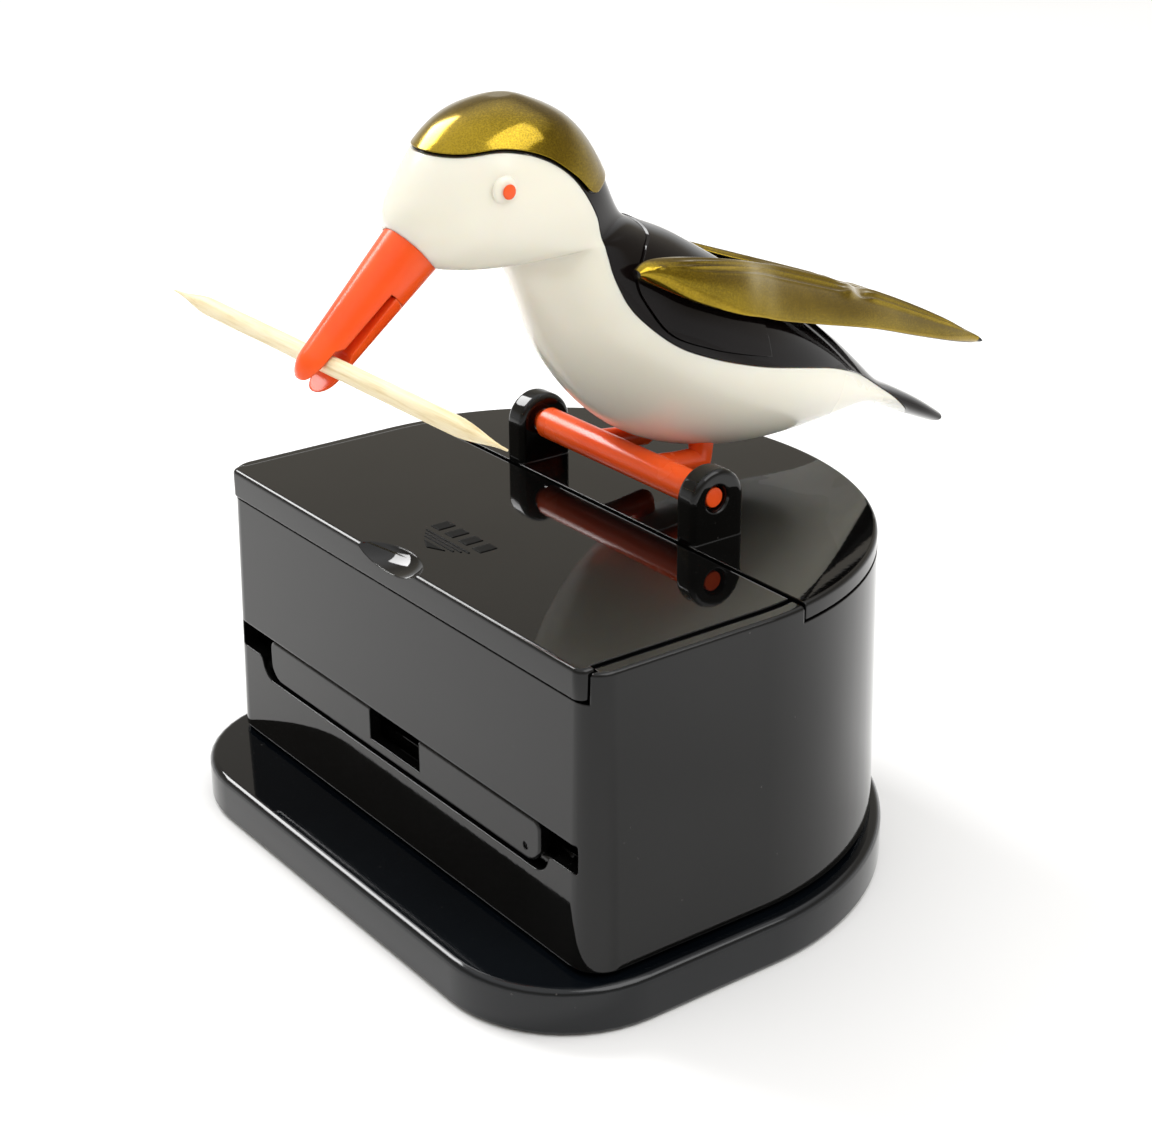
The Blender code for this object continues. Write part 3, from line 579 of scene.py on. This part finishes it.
def pale_wood():
    """Birch with long fibres along the pick."""
    made, tree, shader, place = begin("birch")
    stretched = add_node(tree, "ShaderNodeMapping", None, Vector=place, Scale=(0.05, 1.0, 1.0))
    fibre = grain(tree, stretched.outputs["Vector"], 2600.0, 6.0, 0.6)
    broad = grain(tree, stretched.outputs["Vector"], 700.0, 3.0)
    colour = ramp(tree, fibre, (0.3, (0.70, 0.56, 0.30)), (0.5, (0.86, 0.75, 0.50)),
                  (0.72, (0.93, 0.86, 0.66)))
    tint = ramp(tree, broad, (0.3, (0.86, 0.82, 0.72)), (0.7, (1.0, 1.0, 1.0)))
    mix = add_node(tree, "ShaderNodeMix", {"data_type": "RGBA", "blend_type": "MULTIPLY"})
    mix.inputs["Factor"].default_value = 1.0
    tree.links.new(colour, mix.inputs[6])
    tree.links.new(tint, mix.inputs[7])
    tree.links.new(mix.outputs[2], shader.inputs["Base Color"])
    tree.links.new(spread(tree, fibre, 0.5, 0.72, 0.3, 0.7), shader.inputs["Roughness"])
    shader.inputs["Subsurface Weight"].default_value = 0.1
    shader.inputs["Subsurface Radius"].default_value = (1.0, 0.7, 0.4)
    shader.inputs["Subsurface Scale"].default_value = 0.0005
    relief(tree, shader, fibre, 0.00004, 0.6)
    return made


def pale_floor():
    """Matte white table."""
    made, tree, shader, place = begin("pale_table")
    cloud = grain(tree, place, 9.0, 3.0)
    tree.links.new(ramp(tree, cloud, (0.3, (0.90, 0.90, 0.90)), (0.7, (0.93, 0.93, 0.93))),
                   shader.inputs["Base Color"])
    tree.links.new(spread(tree, cloud, 0.8, 0.95, 0.3, 0.7), shader.inputs["Roughness"])
    shader.inputs["Specular IOR Level"].default_value = 0.2
    return made


# ---------------------------------------------------------------- base and box

def base_plate(material):
    """Base plate with rounded rims."""
    rows = [(0.0, 0.7), (0.25, 0.22), (0.7, 0.0)] + soft_rim(BASE_THICK, 0.9)
    made = piece("base_plate_fine", loft([d_outline(inset, z, **BASE) for z, inset in rows]),
                 material)
    for x, y in BOSS_PLACES:
        cut(made, turned((x, y, 3.0), (0, 0, 1), [(-5.0, SCREW_HOLE), (5.0, SCREW_HOLE)], 32),
            turned((x, y, 0.0), (0, 0, 1), [(-2.6, SCREW_HEAD_HOLE), (2.6, SCREW_HEAD_HOLE)], 40))
    return made


def housing(material):
    """The box: drafted D shell with slot, notches and seats for lid and cover."""
    rows = [(BODY_BOTTOM, 0.35), (BODY_BOTTOM + 0.35, 0.0), (20.0, 0.0)] + soft_rim(TOP - 0.3, 0.45)
    made = piece("housing_fine", loft([body_ring(z, inset) for z, inset in rows]), material)
    cavity = loft([body_ring(z, WALL) for z in (BODY_BOTTOM - 2, TOP + 2)])
    for x, y in BOSS_PLACES:
        boss = turned((x, y, 6.4), (0, 0, 1), [(-BOSS_HALF_HEIGHT, BOSS_RADIUS),
                                               (BOSS_HALF_HEIGHT, BOSS_RADIUS)], 32)
        cavity = combined(cavity, boss, "DIFFERENCE")
    wide = SKIRT_HALF + GAP
    inner = LID_HALF + GAP
    cut(made, cavity, slot_solid(),
        box(-wide, wide, -3, SKIRT_BACK + GAP, TOP - SKIRT - GAP, TOP + 5),
        box(-inner, inner, -3, WALL + CORNER, TOP - SKIRT - GAP, TOP + 5),
        box(-FAR, FAR, SEAM - GAP, FAR + 10, TOP - PLATE - GAP, TOP + 5))
    return made


def slot_solid():
    """The gate's slot: wide notches at both ends, round corners beside the gate."""
    corners = ((NOTCH_HALF, SLOT_TOP, 0.3), (NOTCH_HALF, NOTCH_LOW, 0.3),
               (SLOT_HALF, NOTCH_LOW, 0.7), (SLOT_HALF - 0.6, SLOT_LOW, 2.2))
    right = []
    for index, (x, z, radius) in enumerate(corners):
        before = Vector(corners[index - 1][:2]) if index else Vector((0.0, SLOT_TOP))
        after = Vector(corners[index + 1][:2]) if index < 3 else Vector((0.0, SLOT_LOW))
        corner = Vector((x, z))
        start = corner + (before - corner).normalized() * radius
        end = corner + (after - corner).normalized() * radius
        for step in range(9):
            t = step / 8
            right.append(start * (1 - t) ** 2 + corner * 2 * t * (1 - t) + end * t * t)
    outline = [(point.x, point.y) for point in right]
    outline += [(-x, z) for x, z in reversed(outline)]
    return loft([[Vector((x, y, z)) for x, z in outline] for y in (-3.0, SLOT_CUT_BACK)])


def ear(side):
    """One upright ear with a round top and softened rims."""
    centre_z = EAR_TOP - EAR_HALF
    rings = []
    soft = 0.7
    rows = []
    for step in range(5):
        angle = math.pi / 2 * step / 4
        rows.append((EAR_INNER + soft - soft * math.cos(angle) * 0.999,
                     soft - soft * math.sin(angle)))
    rows += [(EAR_OUTER + EAR_INNER - x, shrink) for x, shrink in reversed(rows)]
    for x, shrink in rows:
        radius = EAR_HALF - shrink
        points = [(EAR_Y + radius, TOP - 1.0)]
        for step in range(41):
            angle = math.pi * step / 40
            points.append((EAR_Y + radius * math.cos(angle),
                           centre_z + radius * math.sin(angle)))
        points.append((EAR_Y - radius, TOP - 1.0))
        rings.append([Vector((side * x, y, z)) for y, z in points])
    return loft(rings)


def rear_cover(material):
    """Fixed rear cover with the two ears that carry the perch bar."""
    low = TOP - PLATE
    rows = [(low, 0.0)] + soft_rim(TOP, 0.5)
    made = piece("rear_cover_fine", loft([d_outline(inset, z) for z, inset in rows]), material)
    cut(made, box(-FAR, FAR, -5, SEAM, 0, 60))
    for side in (-1, 1):
        join(made, ear(side))
        centre = (side * (EAR_INNER + EAR_OUTER) / 2, PIVOT.y, PIVOT.z)
        cut(made, turned(centre, (1, 0, 0), [(-3.0, JOURNAL + GAP), (3.0, JOURNAL + GAP)], 48))
        outer = (side * EAR_OUTER, PIVOT.y, PIVOT.z)
        cut(made, turned(outer, (side, 0, 0), [(-0.3, JOURNAL + GAP),
                                                  (0.3, EAR_CHAMFER_RADIUS)], 48))
    pocket = (EAR_INNER, PIVOT.y, PIVOT.z)
    cut(made, turned(pocket, (1, 0, 0), [(-POCKET_DEPTH, POCKET_RADIUS),
                                         (POCKET_DEPTH, POCKET_RADIUS)], 48))
    return made


# ---------------------------------------------------------------- lid and gate

def lid(material):
    """Flip lid: flat plate, front skirt, hinge bead and thumb scoop."""
    bead = []
    for step in range(25):
        angle = math.radians(-140 + 187 * step / 24)
        bead.append((LID_AXIS.y + LID_BEAD * math.cos(angle),
                     LID_AXIS.z + LID_BEAD * math.sin(angle)))
    under = TOP - PLATE
    profile = [(0.6, under), (24.4, under)] + bead + [(26.85, TOP), (0.6, TOP)]
    made = piece("lid_fine", side_prism(profile, LID_HALF), material)
    keep(made, loft([d_outline(WALL + GAP, z, front=-5.0) for z in (30, 50)]))
    rows = [(TOP - SKIRT, 0.25), (TOP - SKIRT + 0.08, 0.08), (TOP - SKIRT + 0.25, 0.0)]
    rows += soft_rim(TOP, 0.55)
    skirt = loft([d_outline(inset, z, half=SKIRT_HALF, front=SKIRT_FRONT, corner=1.3)
                  for z, inset in rows])
    join(made, combined(skirt, box(-FAR, FAR, -5, SKIRT_BACK, 30, 50), "INTERSECT"))
    cut(made, ball(Vector((0.0, 0.0, TOP)) + SCOOP_DROP, SCOOP_RADII, 40))
    return made


def lid_mark(material):
    """Generic moulded mark: a row of bars, three lines and a pointer, with no lettering."""
    shape = bmesh.new()

    def plate(points):
        rings = [[Vector((x, y, z)) for x, y in points]
                 for z in (TOP - MARK_SUNK, TOP + MARK_RAISED)]
        low = [shape.verts.new(point) for point in rings[0]]
        high = [shape.verts.new(point) for point in rings[1]]
        count = len(low)
        for index in range(count):
            after = (index + 1) % count
            shape.faces.new((low[index], low[after], high[after], high[index]))
        shape.faces.new(list(reversed(low)))
        shape.faces.new(high)

    for index in range(4):
        x = -4.9 + 2.7 * index
        plate([(x, 8.6), (x + 1.6, 8.6), (x + 1.6, 10.8), (x, 10.8)])
    for index in range(3):
        half = 4.2 - 0.7 * index
        y = 7.5 - 0.55 * index
        left, right = -0.1 - half, -0.1 + half
        plate([(left, y), (right, y), (right, y + 0.22), (left, y + 0.22)])
    plate([(-2.2, 5.9), (-0.1, 4.9), (2.0, 5.9)])
    return piece("lid_mark", shape, material)


def gate(material):
    """Gate plate with a window open at its top and a trunnion at each end."""
    back = GATE_FRONT + GATE_THICK
    outline = []
    for x, z, start, radius in ((GATE_HALF, GATE_LOW, -90, 2.2), (GATE_HALF, GATE_TOP, 0, 0.9),
                                (-GATE_HALF, GATE_TOP, 90, 0.9), (-GATE_HALF, GATE_LOW, 180, 2.2)):
        mid_x = x - math.copysign(radius, x)
        mid_z = z + radius if z == GATE_LOW else z - radius
        for step in range(11):
            angle = math.radians(start + 90 * step / 10)
            outline.append((mid_x + radius * math.cos(angle), mid_z + radius * math.sin(angle)))
    middle = (GATE_LOW + GATE_TOP) / 2
    rings = []
    for y, inset in ((GATE_FRONT, 0.28), (GATE_FRONT + 0.06, 0.12), (GATE_FRONT + 0.2, 0.0),
                     (back, 0.0)):
        grow = 1.0 - inset / GATE_HALF
        squash = 1.0 - 2 * inset / (GATE_TOP - GATE_LOW)
        rings.append([Vector((x * grow, y, middle + (z - middle) * squash)) for x, z in outline])
    made = piece("gate_fine", loft(rings), material)
    cut(made, box(-WINDOW_HALF, WINDOW_HALF, -3, 5, WINDOW_LOW, GATE_TOP + 3),
        turned((25.1, GATE_FRONT, GATE_LOW + 1.4), (0, 1, 0), [(-0.3, 0.42), (0.3, 0.42)], 24))
    for side in (-1, 1):
        join(made, rounded_rod((side * (GATE_HALF + 0.35), GATE_AXIS.y, GATE_AXIS.z), (1, 0, 0),
                               TRUNNION_LENGTH, TRUNNION_RADIUS, 0.1, 24))
    return made


# ---------------------------------------------------------------- bird

def bird_solid(grow=0.0, steps=7, segments=96):
    """The bird's whole outer form, lofted through its stations and grown or shrunk."""
    flat = [(*front, *back, half) for front, back, half in BIRD_STATIONS]
    rings = []
    crown = 3 * steps
    for number, row in enumerate(relaxed(smooth_stations(flat, steps), 10)):
        lift = Vector((0.0, 0.0, grow * (1 - ease(0, crown, number))))
        front = Vector((0.0, row[0], row[1]))
        back = Vector((0.0, row[2], row[3]))
        middle = (front + back) / 2
        reach = (back - front) / 2
        reach = reach * max(1.0 + grow / reach.length, 0.15)
        half = max(row[4] + grow, 0.2)
        rings.append([middle + lift + reach * math.cos(2 * math.pi * step / segments)
                      + Vector((half * math.sin(2 * math.pi * step / segments), 0.0, 0.0))
                      for step in range(segments)])
    return loft(rings)


def shifted(line, distance):
    """A side-view line moved sideways; positive is to its left."""
    moved = []
    for index, point in enumerate(line):
        before = Vector(line[max(index - 1, 0)])
        after = Vector(line[min(index + 1, len(line) - 1)])
        along = (after - before).normalized()
        moved.append((point[0] - along.y * distance, point[1] + along.x * distance))
    return moved


def fluent(line, steps=6):
    """A side-view line smoothed into a curve."""
    return [tuple(row) for row in smooth_stations(line, steps)]


def upper_region(drop):
    """Everything above the white shell's upper edge, lowered by a distance."""
    line = fluent(shifted(CAP_SEAM, -drop - RIM_BAND)[:-1] + shifted(FLANK_SEAM, -drop)[1:])
    return side_prism(line + [(90.0, 36.0), (90.0, 100.0), (-8.0, 100.0)], FAR)


def cap_region(drop):
    """Everything above the crown cap's lower edge, lowered by a distance."""
    line = fluent(shifted(CAP_SEAM + CAP_REAR, -drop))
    return side_prism(line + [(40.0, 100.0), (-8.0, 100.0)], FAR)


def saddle_region(grow):
    """The mantle that carries the wings."""
    line = fluent(shifted(SADDLE_SEAM, -grow)[:-1])
    return side_prism(line + [(44.0 + grow, 70.0)], FAR)


def bird_shells(cream, black, gold):
    """Cream lower shell, black back shell, mantle and crown cap."""
    white = piece("bird_body_fine", bird_solid(), cream)
    cut(white, upper_region(CREASE), beak_solid(0.05, BEAK_ROOT - 0.003))
    for side in (-1, 1):
        spot = Vector((side * EYE.x, EYE.y, EYE.z))
        join(white, ball(spot - Vector((side * EYE_SINK, 0, 0)), EYE_RADII, 20))
    back = piece("back_shell_fine", bird_solid(), black)
    keep(back, upper_region(-CREASE))
    cut(back, cap_region(CREASE), saddle_region(CREASE))
    mantle = piece("wing_saddle_fine", bird_solid(PROUD), black)
    keep(mantle, saddle_region(-CREASE))
    cap = piece("crown_cap_fine", bird_solid(PROUD), gold)
    keep(cap, cap_region(-CREASE))
    return white, back, mantle, cap


def eye_spot(name, side, material):
    """Painted pupil: a shallow lens on the raised eye."""
    centre = Vector((side * (EYE.x + PUPIL_STANDS_OUT), EYE.y, EYE.z))
    return piece(name, ball(centre, PUPIL_RADII, 16), material)


def feather_relief(share, across):
    """Height of the outer wing face: share runs root to tip, across is 1 at the upper edge."""
    coverts = ease(0.117, 0.27, share) * (1 - ease(0.604, 0.64, share))
    coverts *= ease(-0.02, 0.14, across) * (1 - ease(0.95, 1.0, across))
    height = COVERT_HEIGHT * coverts * (1 - abs(math.sin(math.pi * across * COVERT_RIBS)))
    flight = ease(0.667, 0.703, share) * (1 - ease(0.874, 0.955, share))
    flight *= ease(-0.25, 0.0, across) * (1 - ease(0.95, 1.0, across))
    height += FLIGHT_HEIGHT * flight * (1 - abs(math.sin(math.pi * across * FLIGHT_RIBS)))
    upper = ease(-0.05, 0.25, across)
    ridge = math.exp(-((share - 0.645 + 0.01 * across) / 0.012) ** 2)
    groove = math.exp(-((share - 0.672 + 0.01 * across) / 0.010) ** 2)
    height += upper * (0.34 * ridge - 0.30 * groove)
    knob = ((share - 0.640) / 0.013) ** 2 + ((across - 0.02) / 0.16) ** 2
    height += 0.42 * math.exp(-knob)
    stud = ((share - 0.104) / 0.010) ** 2 + ((across - 0.25) / 0.12) ** 2
    height += 0.25 * math.exp(-stud)
    return height


def wing(name, side, gold, black):
    """Leaf-shaped wing: gold feathered outer face on a black moulding."""
    rows = relaxed(smooth_stations(WING_STATIONS, 14), 6)
    outer = 84
    inner = 14
    rings = []
    for number, row in enumerate(rows):
        share = number / (len(rows) - 1)
        high = Vector((side * row[0], row[1], row[2]))
        low = Vector((side * row[3], row[4], row[5]))
        middle = (high + low) / 2
        reach = (high - low) / 2
        out = Vector((side * abs(reach.z), 0.0, abs(reach.x))).normalized()
        ring = []
        for step in range(outer + inner):
            if step <= outer:
                across = math.cos(math.pi * step / outer)
                across = 0.5 * across + 0.5 * (1 - 2 * step / outer)
                dome = math.sqrt(max(1 - across ** 2, 0.0))
                thick = WING_THICK * dome
                thick += feather_relief(share, across) * dome
            else:
                across = -math.cos(math.pi * (step - outer) / inner)
                thick = -WING_THICK * math.sqrt(max(1 - across ** 2, 0.0))
            thick += row[6] * (1 - across ** 2)
            ring.append(middle + reach * across + out * thick)
        rings.append(ring)
    made = piece(name, loft(rings), gold)
    made.data.materials.append(black)
    count = outer + inner
    for face in made.data.polygons:
        rows_hit = [index // count for index in face.vertices]
        columns = [index % count for index in face.vertices]
        under = min(columns) >= outer or (0 in columns and max(columns) >= outer)
        if under or min(rows_hit) > len(rows) * BLACK_TIP_START:
            face.material_index = 1
    return made


def ring_on(centre, axis, radius, segments):
    """A ring of points about an axis in the side plane."""
    across = Vector((1.0, 0.0, 0.0))
    up = Vector(axis).normalized().cross(across)
    return [centre + across * (radius * math.cos(2 * math.pi * step / segments))
            + up * (radius * math.sin(2 * math.pi * step / segments))
            for step in range(segments)]


def beak_solid(grow=0.0, low=0.0):
    """The whole beak: a cone from the face to a blunt rounded tip."""
    axis = BEAK_TIP - BEAK_BASE
    profile = [(low, 0.0), (low + 0.02, 0.0), (0.25, 0.0), (0.5, 0.0), (0.75, 0.0)]
    for step in range(9):
        angle = math.pi / 2 * step / 8
        shrink = -(BEAK_TIP_RADIUS - 0.35) * (1 - math.cos(angle)) * 0.75
        profile.append((0.86 + 0.14 * math.sin(angle), shrink))
    rings = []
    for share, shrink in profile:
        radius = BEAK_BASE_RADIUS + (BEAK_TIP_RADIUS - BEAK_BASE_RADIUS) * share
        rings.append(ring_on(BEAK_BASE + axis * share, axis, max(radius + shrink + grow, 0.2), 72))
    return loft(rings)


def slit_region():
    """The wedge between the jaws: narrow at its root and open at the tips."""
    axis = BEAK_TIP - BEAK_BASE
    length = axis.length
    axis.normalize()
    lift = axis.cross(Vector((1.0, 0.0, 0.0)))
    root = BEAK_BASE + axis * (length * SLIT_START)
    end = BEAK_TIP + axis * 4.0
    grip = PICK_CENTRE
    half_root = SLIT_WIDTH / 2
    line = [root + lift * half_root, root - lift * half_root]
    low = [grip - axis * 2.0 - lift * (PICK_RADIUS * 0.55),
           grip - axis * 1.1 - lift * (PICK_RADIUS + 0.12),
           grip + axis * 1.1 - lift * (PICK_RADIUS + 0.12),
           end - lift * 1.2]
    high = [end + lift * 0.9,
            grip + axis * 1.1 + lift * (PICK_RADIUS + 0.12),
            grip - axis * 1.1 + lift * (PICK_RADIUS + 0.12),
            grip - axis * 2.0 + lift * (PICK_RADIUS * 0.55)]
    return side_prism([(point.y, point.z) for point in line + low + high], 12.0)


def jaw_region(grow):
    """Everything on the lower side of the slit, tipwards of the jaw's root."""
    axis = BEAK_TIP - BEAK_BASE
    length = axis.length
    axis.normalize()
    lift = axis.cross(Vector((1.0, 0.0, 0.0)))
    root = BEAK_BASE + axis * (length * SLIT_START - grow)
    end = BEAK_TIP + axis * 6.0
    points = [root, root - lift * 8.0, end - lift * 8.0, end, PICK_CENTRE]
    return side_prism([(point.y, point.z) for point in points], 12.0)


def beak(material):
    """Upper jaw with the beak's root, and the springy lower jaw."""
    upper = piece("beak_upper_fine", beak_solid(0.0, BEAK_ROOT), material)
    cut(upper, slit_region(), jaw_region(JAW_GAP))
    jaw = piece("beak_lower_fine", beak_solid(), material)
    keep(jaw, jaw_region(0.0))
    cut(jaw, slit_region())
    return upper, jaw


def perch(material):
    """Perch bar with its end journals and the two legs that reach up into the belly."""
    made = piece("perch_bar_fine", rounded_rod(PIVOT, (1, 0, 0), 2 * (EAR_INNER - 0.7),
                                               BAR_RADIUS, 0.35), material)
    join(made, rounded_rod(PIVOT, (1, 0, 0), 2 * (EAR_OUTER - 0.4), JOURNAL, 0.15, 48))
    for side in (-1, 1):
        shift = Vector((side * LEG_X, 0.0, 0.0))
        heel = HEEL + shift
        for end, fine in ((PIVOT + shift, 0.9), (LEG_TOP + shift, 1.05)):
            leg = end - heel
            join(made, turned(heel, leg, [(0.0, LEG_RADIUS), (leg.length * 0.5, LEG_RADIUS * fine),
                                          (leg.length, LEG_RADIUS)], 40))
        join(made, ball(heel, (LEG_RADIUS, LEG_RADIUS, LEG_RADIUS), 16))
    return made


def spring(material):
    """Torsion spring in the right ear's pocket, one leg standing out behind the bar."""
    steps = 140
    first_x = EAR_INNER + 0.85
    last_x = EAR_INNER - 0.35
    points = []
    for step in range(steps + 1):
        share = step / steps
        angle = 2 * math.pi * COIL_TURNS * share - 1.2
        points.append(Vector((first_x + (last_x - first_x) * share,
                              PIVOT.y + COIL_RADIUS * math.cos(angle),
                              PIVOT.z + COIL_RADIUS * math.sin(angle))))
    along = (points[-1] - points[-2]).normalized()
    along.x = 0.0
    points += [points[-1] + along * 0.6, points[-1] + along * 1.2]
    curve = bpy.data.curves.new("torsion_spring_fine", "CURVE")
    curve.dimensions = "3D"
    curve.bevel_depth = WIRE_RADIUS * MM
    curve.bevel_resolution = 5
    curve.use_fill_caps = True
    path = curve.splines.new("POLY")
    path.points.add(len(points) - 1)
    for slot, point in zip(path.points, points):
        slot.co = (*(point * MM), 1.0)
    curve.materials.append(material)
    made = bpy.data.objects.new("torsion_spring_fine", curve)
    bpy.context.scene.collection.objects.link(made)
    return made


def toothpick(material):
    """Round birch pick with long sharpened points and faint knife facets."""
    rings = []
    count = 60
    for number in range(count + 1):
        share = -1.0 + 2.0 * number / count
        size = ease(1.0, 0.74, abs(share)) * 0.88 + 0.12
        ring = []
        for step in range(32):
            angle = 2 * math.pi * step / 32
            wave = 1.0 + 0.035 * noise.noise(Vector((share * 9.0, math.cos(angle) * 1.4,
                                                     math.sin(angle) * 1.4)))
            facet = 1.0 - 0.05 * (1 - size) * math.cos(5 * angle)
            radius = PICK_RADIUS * size * wave * facet * 0.985
            ring.append(PICK_CENTRE + Vector((share * PICK_HALF, radius * math.cos(angle),
                                              radius * math.sin(angle))))
        rings.append(ring)
    return piece("toothpick_fine", loft(rings), material)


# ---------------------------------------------------------------- stage

def floor(material):
    """Round table top under the object."""
    shape = bmesh.new()
    bmesh.ops.create_circle(shape, cap_ends=True, segments=96, radius=TABLE_RADIUS)
    made = piece("table_top", shape, material)
    return made


def soft_light(name, place, size, watts):
    """One soft box aimed at the object."""
    lamp = bpy.data.lights.new(name, "AREA")
    lamp.shape = "RECTANGLE"
    lamp.size = size[0]
    lamp.size_y = size[1]
    lamp.energy = watts
    made = bpy.data.objects.new(name, lamp)
    bpy.context.scene.collection.objects.link(made)
    made.location = place
    made.rotation_mode = "QUATERNION"
    made.rotation_quaternion = (Vector(LIT_POINT) - Vector(place)).to_track_quat("-Z", "Y")
    return made


def studio():
    """Even pale surroundings, dimmer at mid height behind the object."""
    world = bpy.data.worlds.new("studio")
    bpy.context.scene.world = world
    world.use_nodes = True
    tree = world.node_tree
    place = tree.nodes.new("ShaderNodeTexCoord").outputs["Generated"]
    parts = add_node(tree, "ShaderNodeSeparateXYZ", None, Vector=place)
    tone = ramp(tree, parts.outputs["Z"], (0.0, (0.72, 0.72, 0.72)), (0.16, (0.62, 0.62, 0.61)),
                (0.30, (0.34, 0.315, 0.27)), (0.56, (0.31, 0.29, 0.26)), (0.80, (0.95, 0.95, 0.95)))
    background = tree.nodes["Background"]
    tree.links.new(tone, background.inputs["Color"])
    background.inputs["Strength"].default_value = 1.3
    soft_light("key", KEY_PLACE, KEY_SIZE, KEY_WATTS)
    soft_light("fill", FILL_PLACE, FILL_SIZE, FILL_WATTS)


def camera():
    """The camera, at its measured place and angles."""
    sin_a, cos_a = math.sin(CAMERA_AZIMUTH), math.cos(CAMERA_AZIMUTH)
    sin_e, cos_e = math.sin(CAMERA_ELEVATION), math.cos(CAMERA_ELEVATION)
    back = Vector((sin_a * cos_e, -cos_a * cos_e, sin_e))
    right = Vector((cos_a, sin_a, 0.0))
    up = back.cross(right)
    sin_r, cos_r = math.sin(CAMERA_ROLL), math.cos(CAMERA_ROLL)
    turned_right = right * cos_r + up * sin_r
    turned_up = up * cos_r - right * sin_r
    data = bpy.data.cameras.new("camera")
    data.lens = CAMERA_LENS
    data.sensor_width = 36.0
    data.clip_start = 0.01
    data.clip_end = 20.0
    made = bpy.data.objects.new("camera", data)
    bpy.context.scene.collection.objects.link(made)
    turn = Matrix((turned_right, turned_up, back)).transposed().to_4x4()
    made.matrix_world = Matrix.Translation(CAMERA_PLACE) @ turn
    bpy.context.scene.camera = made


# ---------------------------------------------------------------- assembly

def build(frame):
    """Make every piece and put it on its body."""
    black = black_plastic("black_moulded", (0.0014, 0.0014, 0.0014), (0.0035, 0.0035, 0.0034),
                          shine=0.42)
    # Black for the base plate. Its blue tint is a painted reflection of the bluish light on the
    # base top, not the plastic's own colour.
    black_base_painted_reflection = black_plastic("black_base", (0.0008, 0.0014, 0.0024), (0.0022, 0.0034, 0.0050),
                         (0.03, 0.08))
    shell = black_plastic("black_shell", (0.0022, 0.0014, 0.0014), (0.0060, 0.0040, 0.0038),
                          (0.03, 0.09), edge=0.00010, shine=0.26)
    mark = black_plastic("black_mark", (0.0008, 0.0008, 0.0008), (0.002, 0.002, 0.002),
                         (0.4, 0.55), shine=0.12)
    cream = cream_plastic()
    gold = gold_paint()
    orange = orange_plastic()
    wire = steel("bright_wire", (0.72, 0.70, 0.66))
    zinc = steel("zinc_plate", (0.60, 0.60, 0.57))
    wood = pale_wood()

    seat(base_plate(black_base_painted_reflection), "stand", "black_gloss", "base_plate")
    seat(housing(black), "stand", "black_gloss", "housing")
    seat(rear_cover(black), "stand", "black_gloss", "rear_cover")
    seat(lid(black), "lid", "black_gloss", "lid")
    seat(lid_mark(mark), "lid", "black_gloss")
    seat(gate(black), "gate", "black_gloss", "gate_plate")
    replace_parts(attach(spring(wire), "stand"), "torsion_spring")
    for name, material in (("pick_chute", black), ("lid_pin_left", wire), ("lid_pin_right", wire),
                           ("base_screw_1", zinc), ("base_screw_2", zinc),
                           ("base_screw_3", zinc), ("base_screw_4", zinc)):
        frame["nodes"][name].data.materials[0] = material

    white, back, mantle, cap = bird_shells(cream, shell, gold)
    seat(white, "bird", "cream_gloss", "bird_body", weighted=False)
    seat(back, "bird", "black_gloss", "back_shell", weighted=False)
    seat(mantle, "bird", "black_gloss", "wing_saddle", weighted=False)
    seat(cap, "bird", "gold_paint", "crown_cap", weighted=False)
    seat(perch(orange), "bird", "orange_gloss", "perch_bar")
    upper, jaw = beak(orange)
    seat(upper, "bird", "orange_gloss", "beak_upper")
    seat(jaw, "lower_jaw", "orange_gloss", "beak_lower")
    seat(toothpick(wood), "pick", "pale_wood", "toothpick", weighted=False)
    for name, side in (("left", -1), ("right", 1)):
        seat(eye_spot("eye_fine_" + name, side, orange), "bird", "orange_gloss", "eye_" + name,
             weighted=False)
        seat(wing("wing_fine_" + name, side, gold, shell), "bird", "gold_paint", "wing_" + name,
             sharp=60.0, weighted=False)


def main():
    """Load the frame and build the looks."""
    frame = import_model()
    build(frame)
    floor(pale_floor())
    studio()
    camera()
    bpy.context.scene.view_settings.view_transform = "Standard"


main()
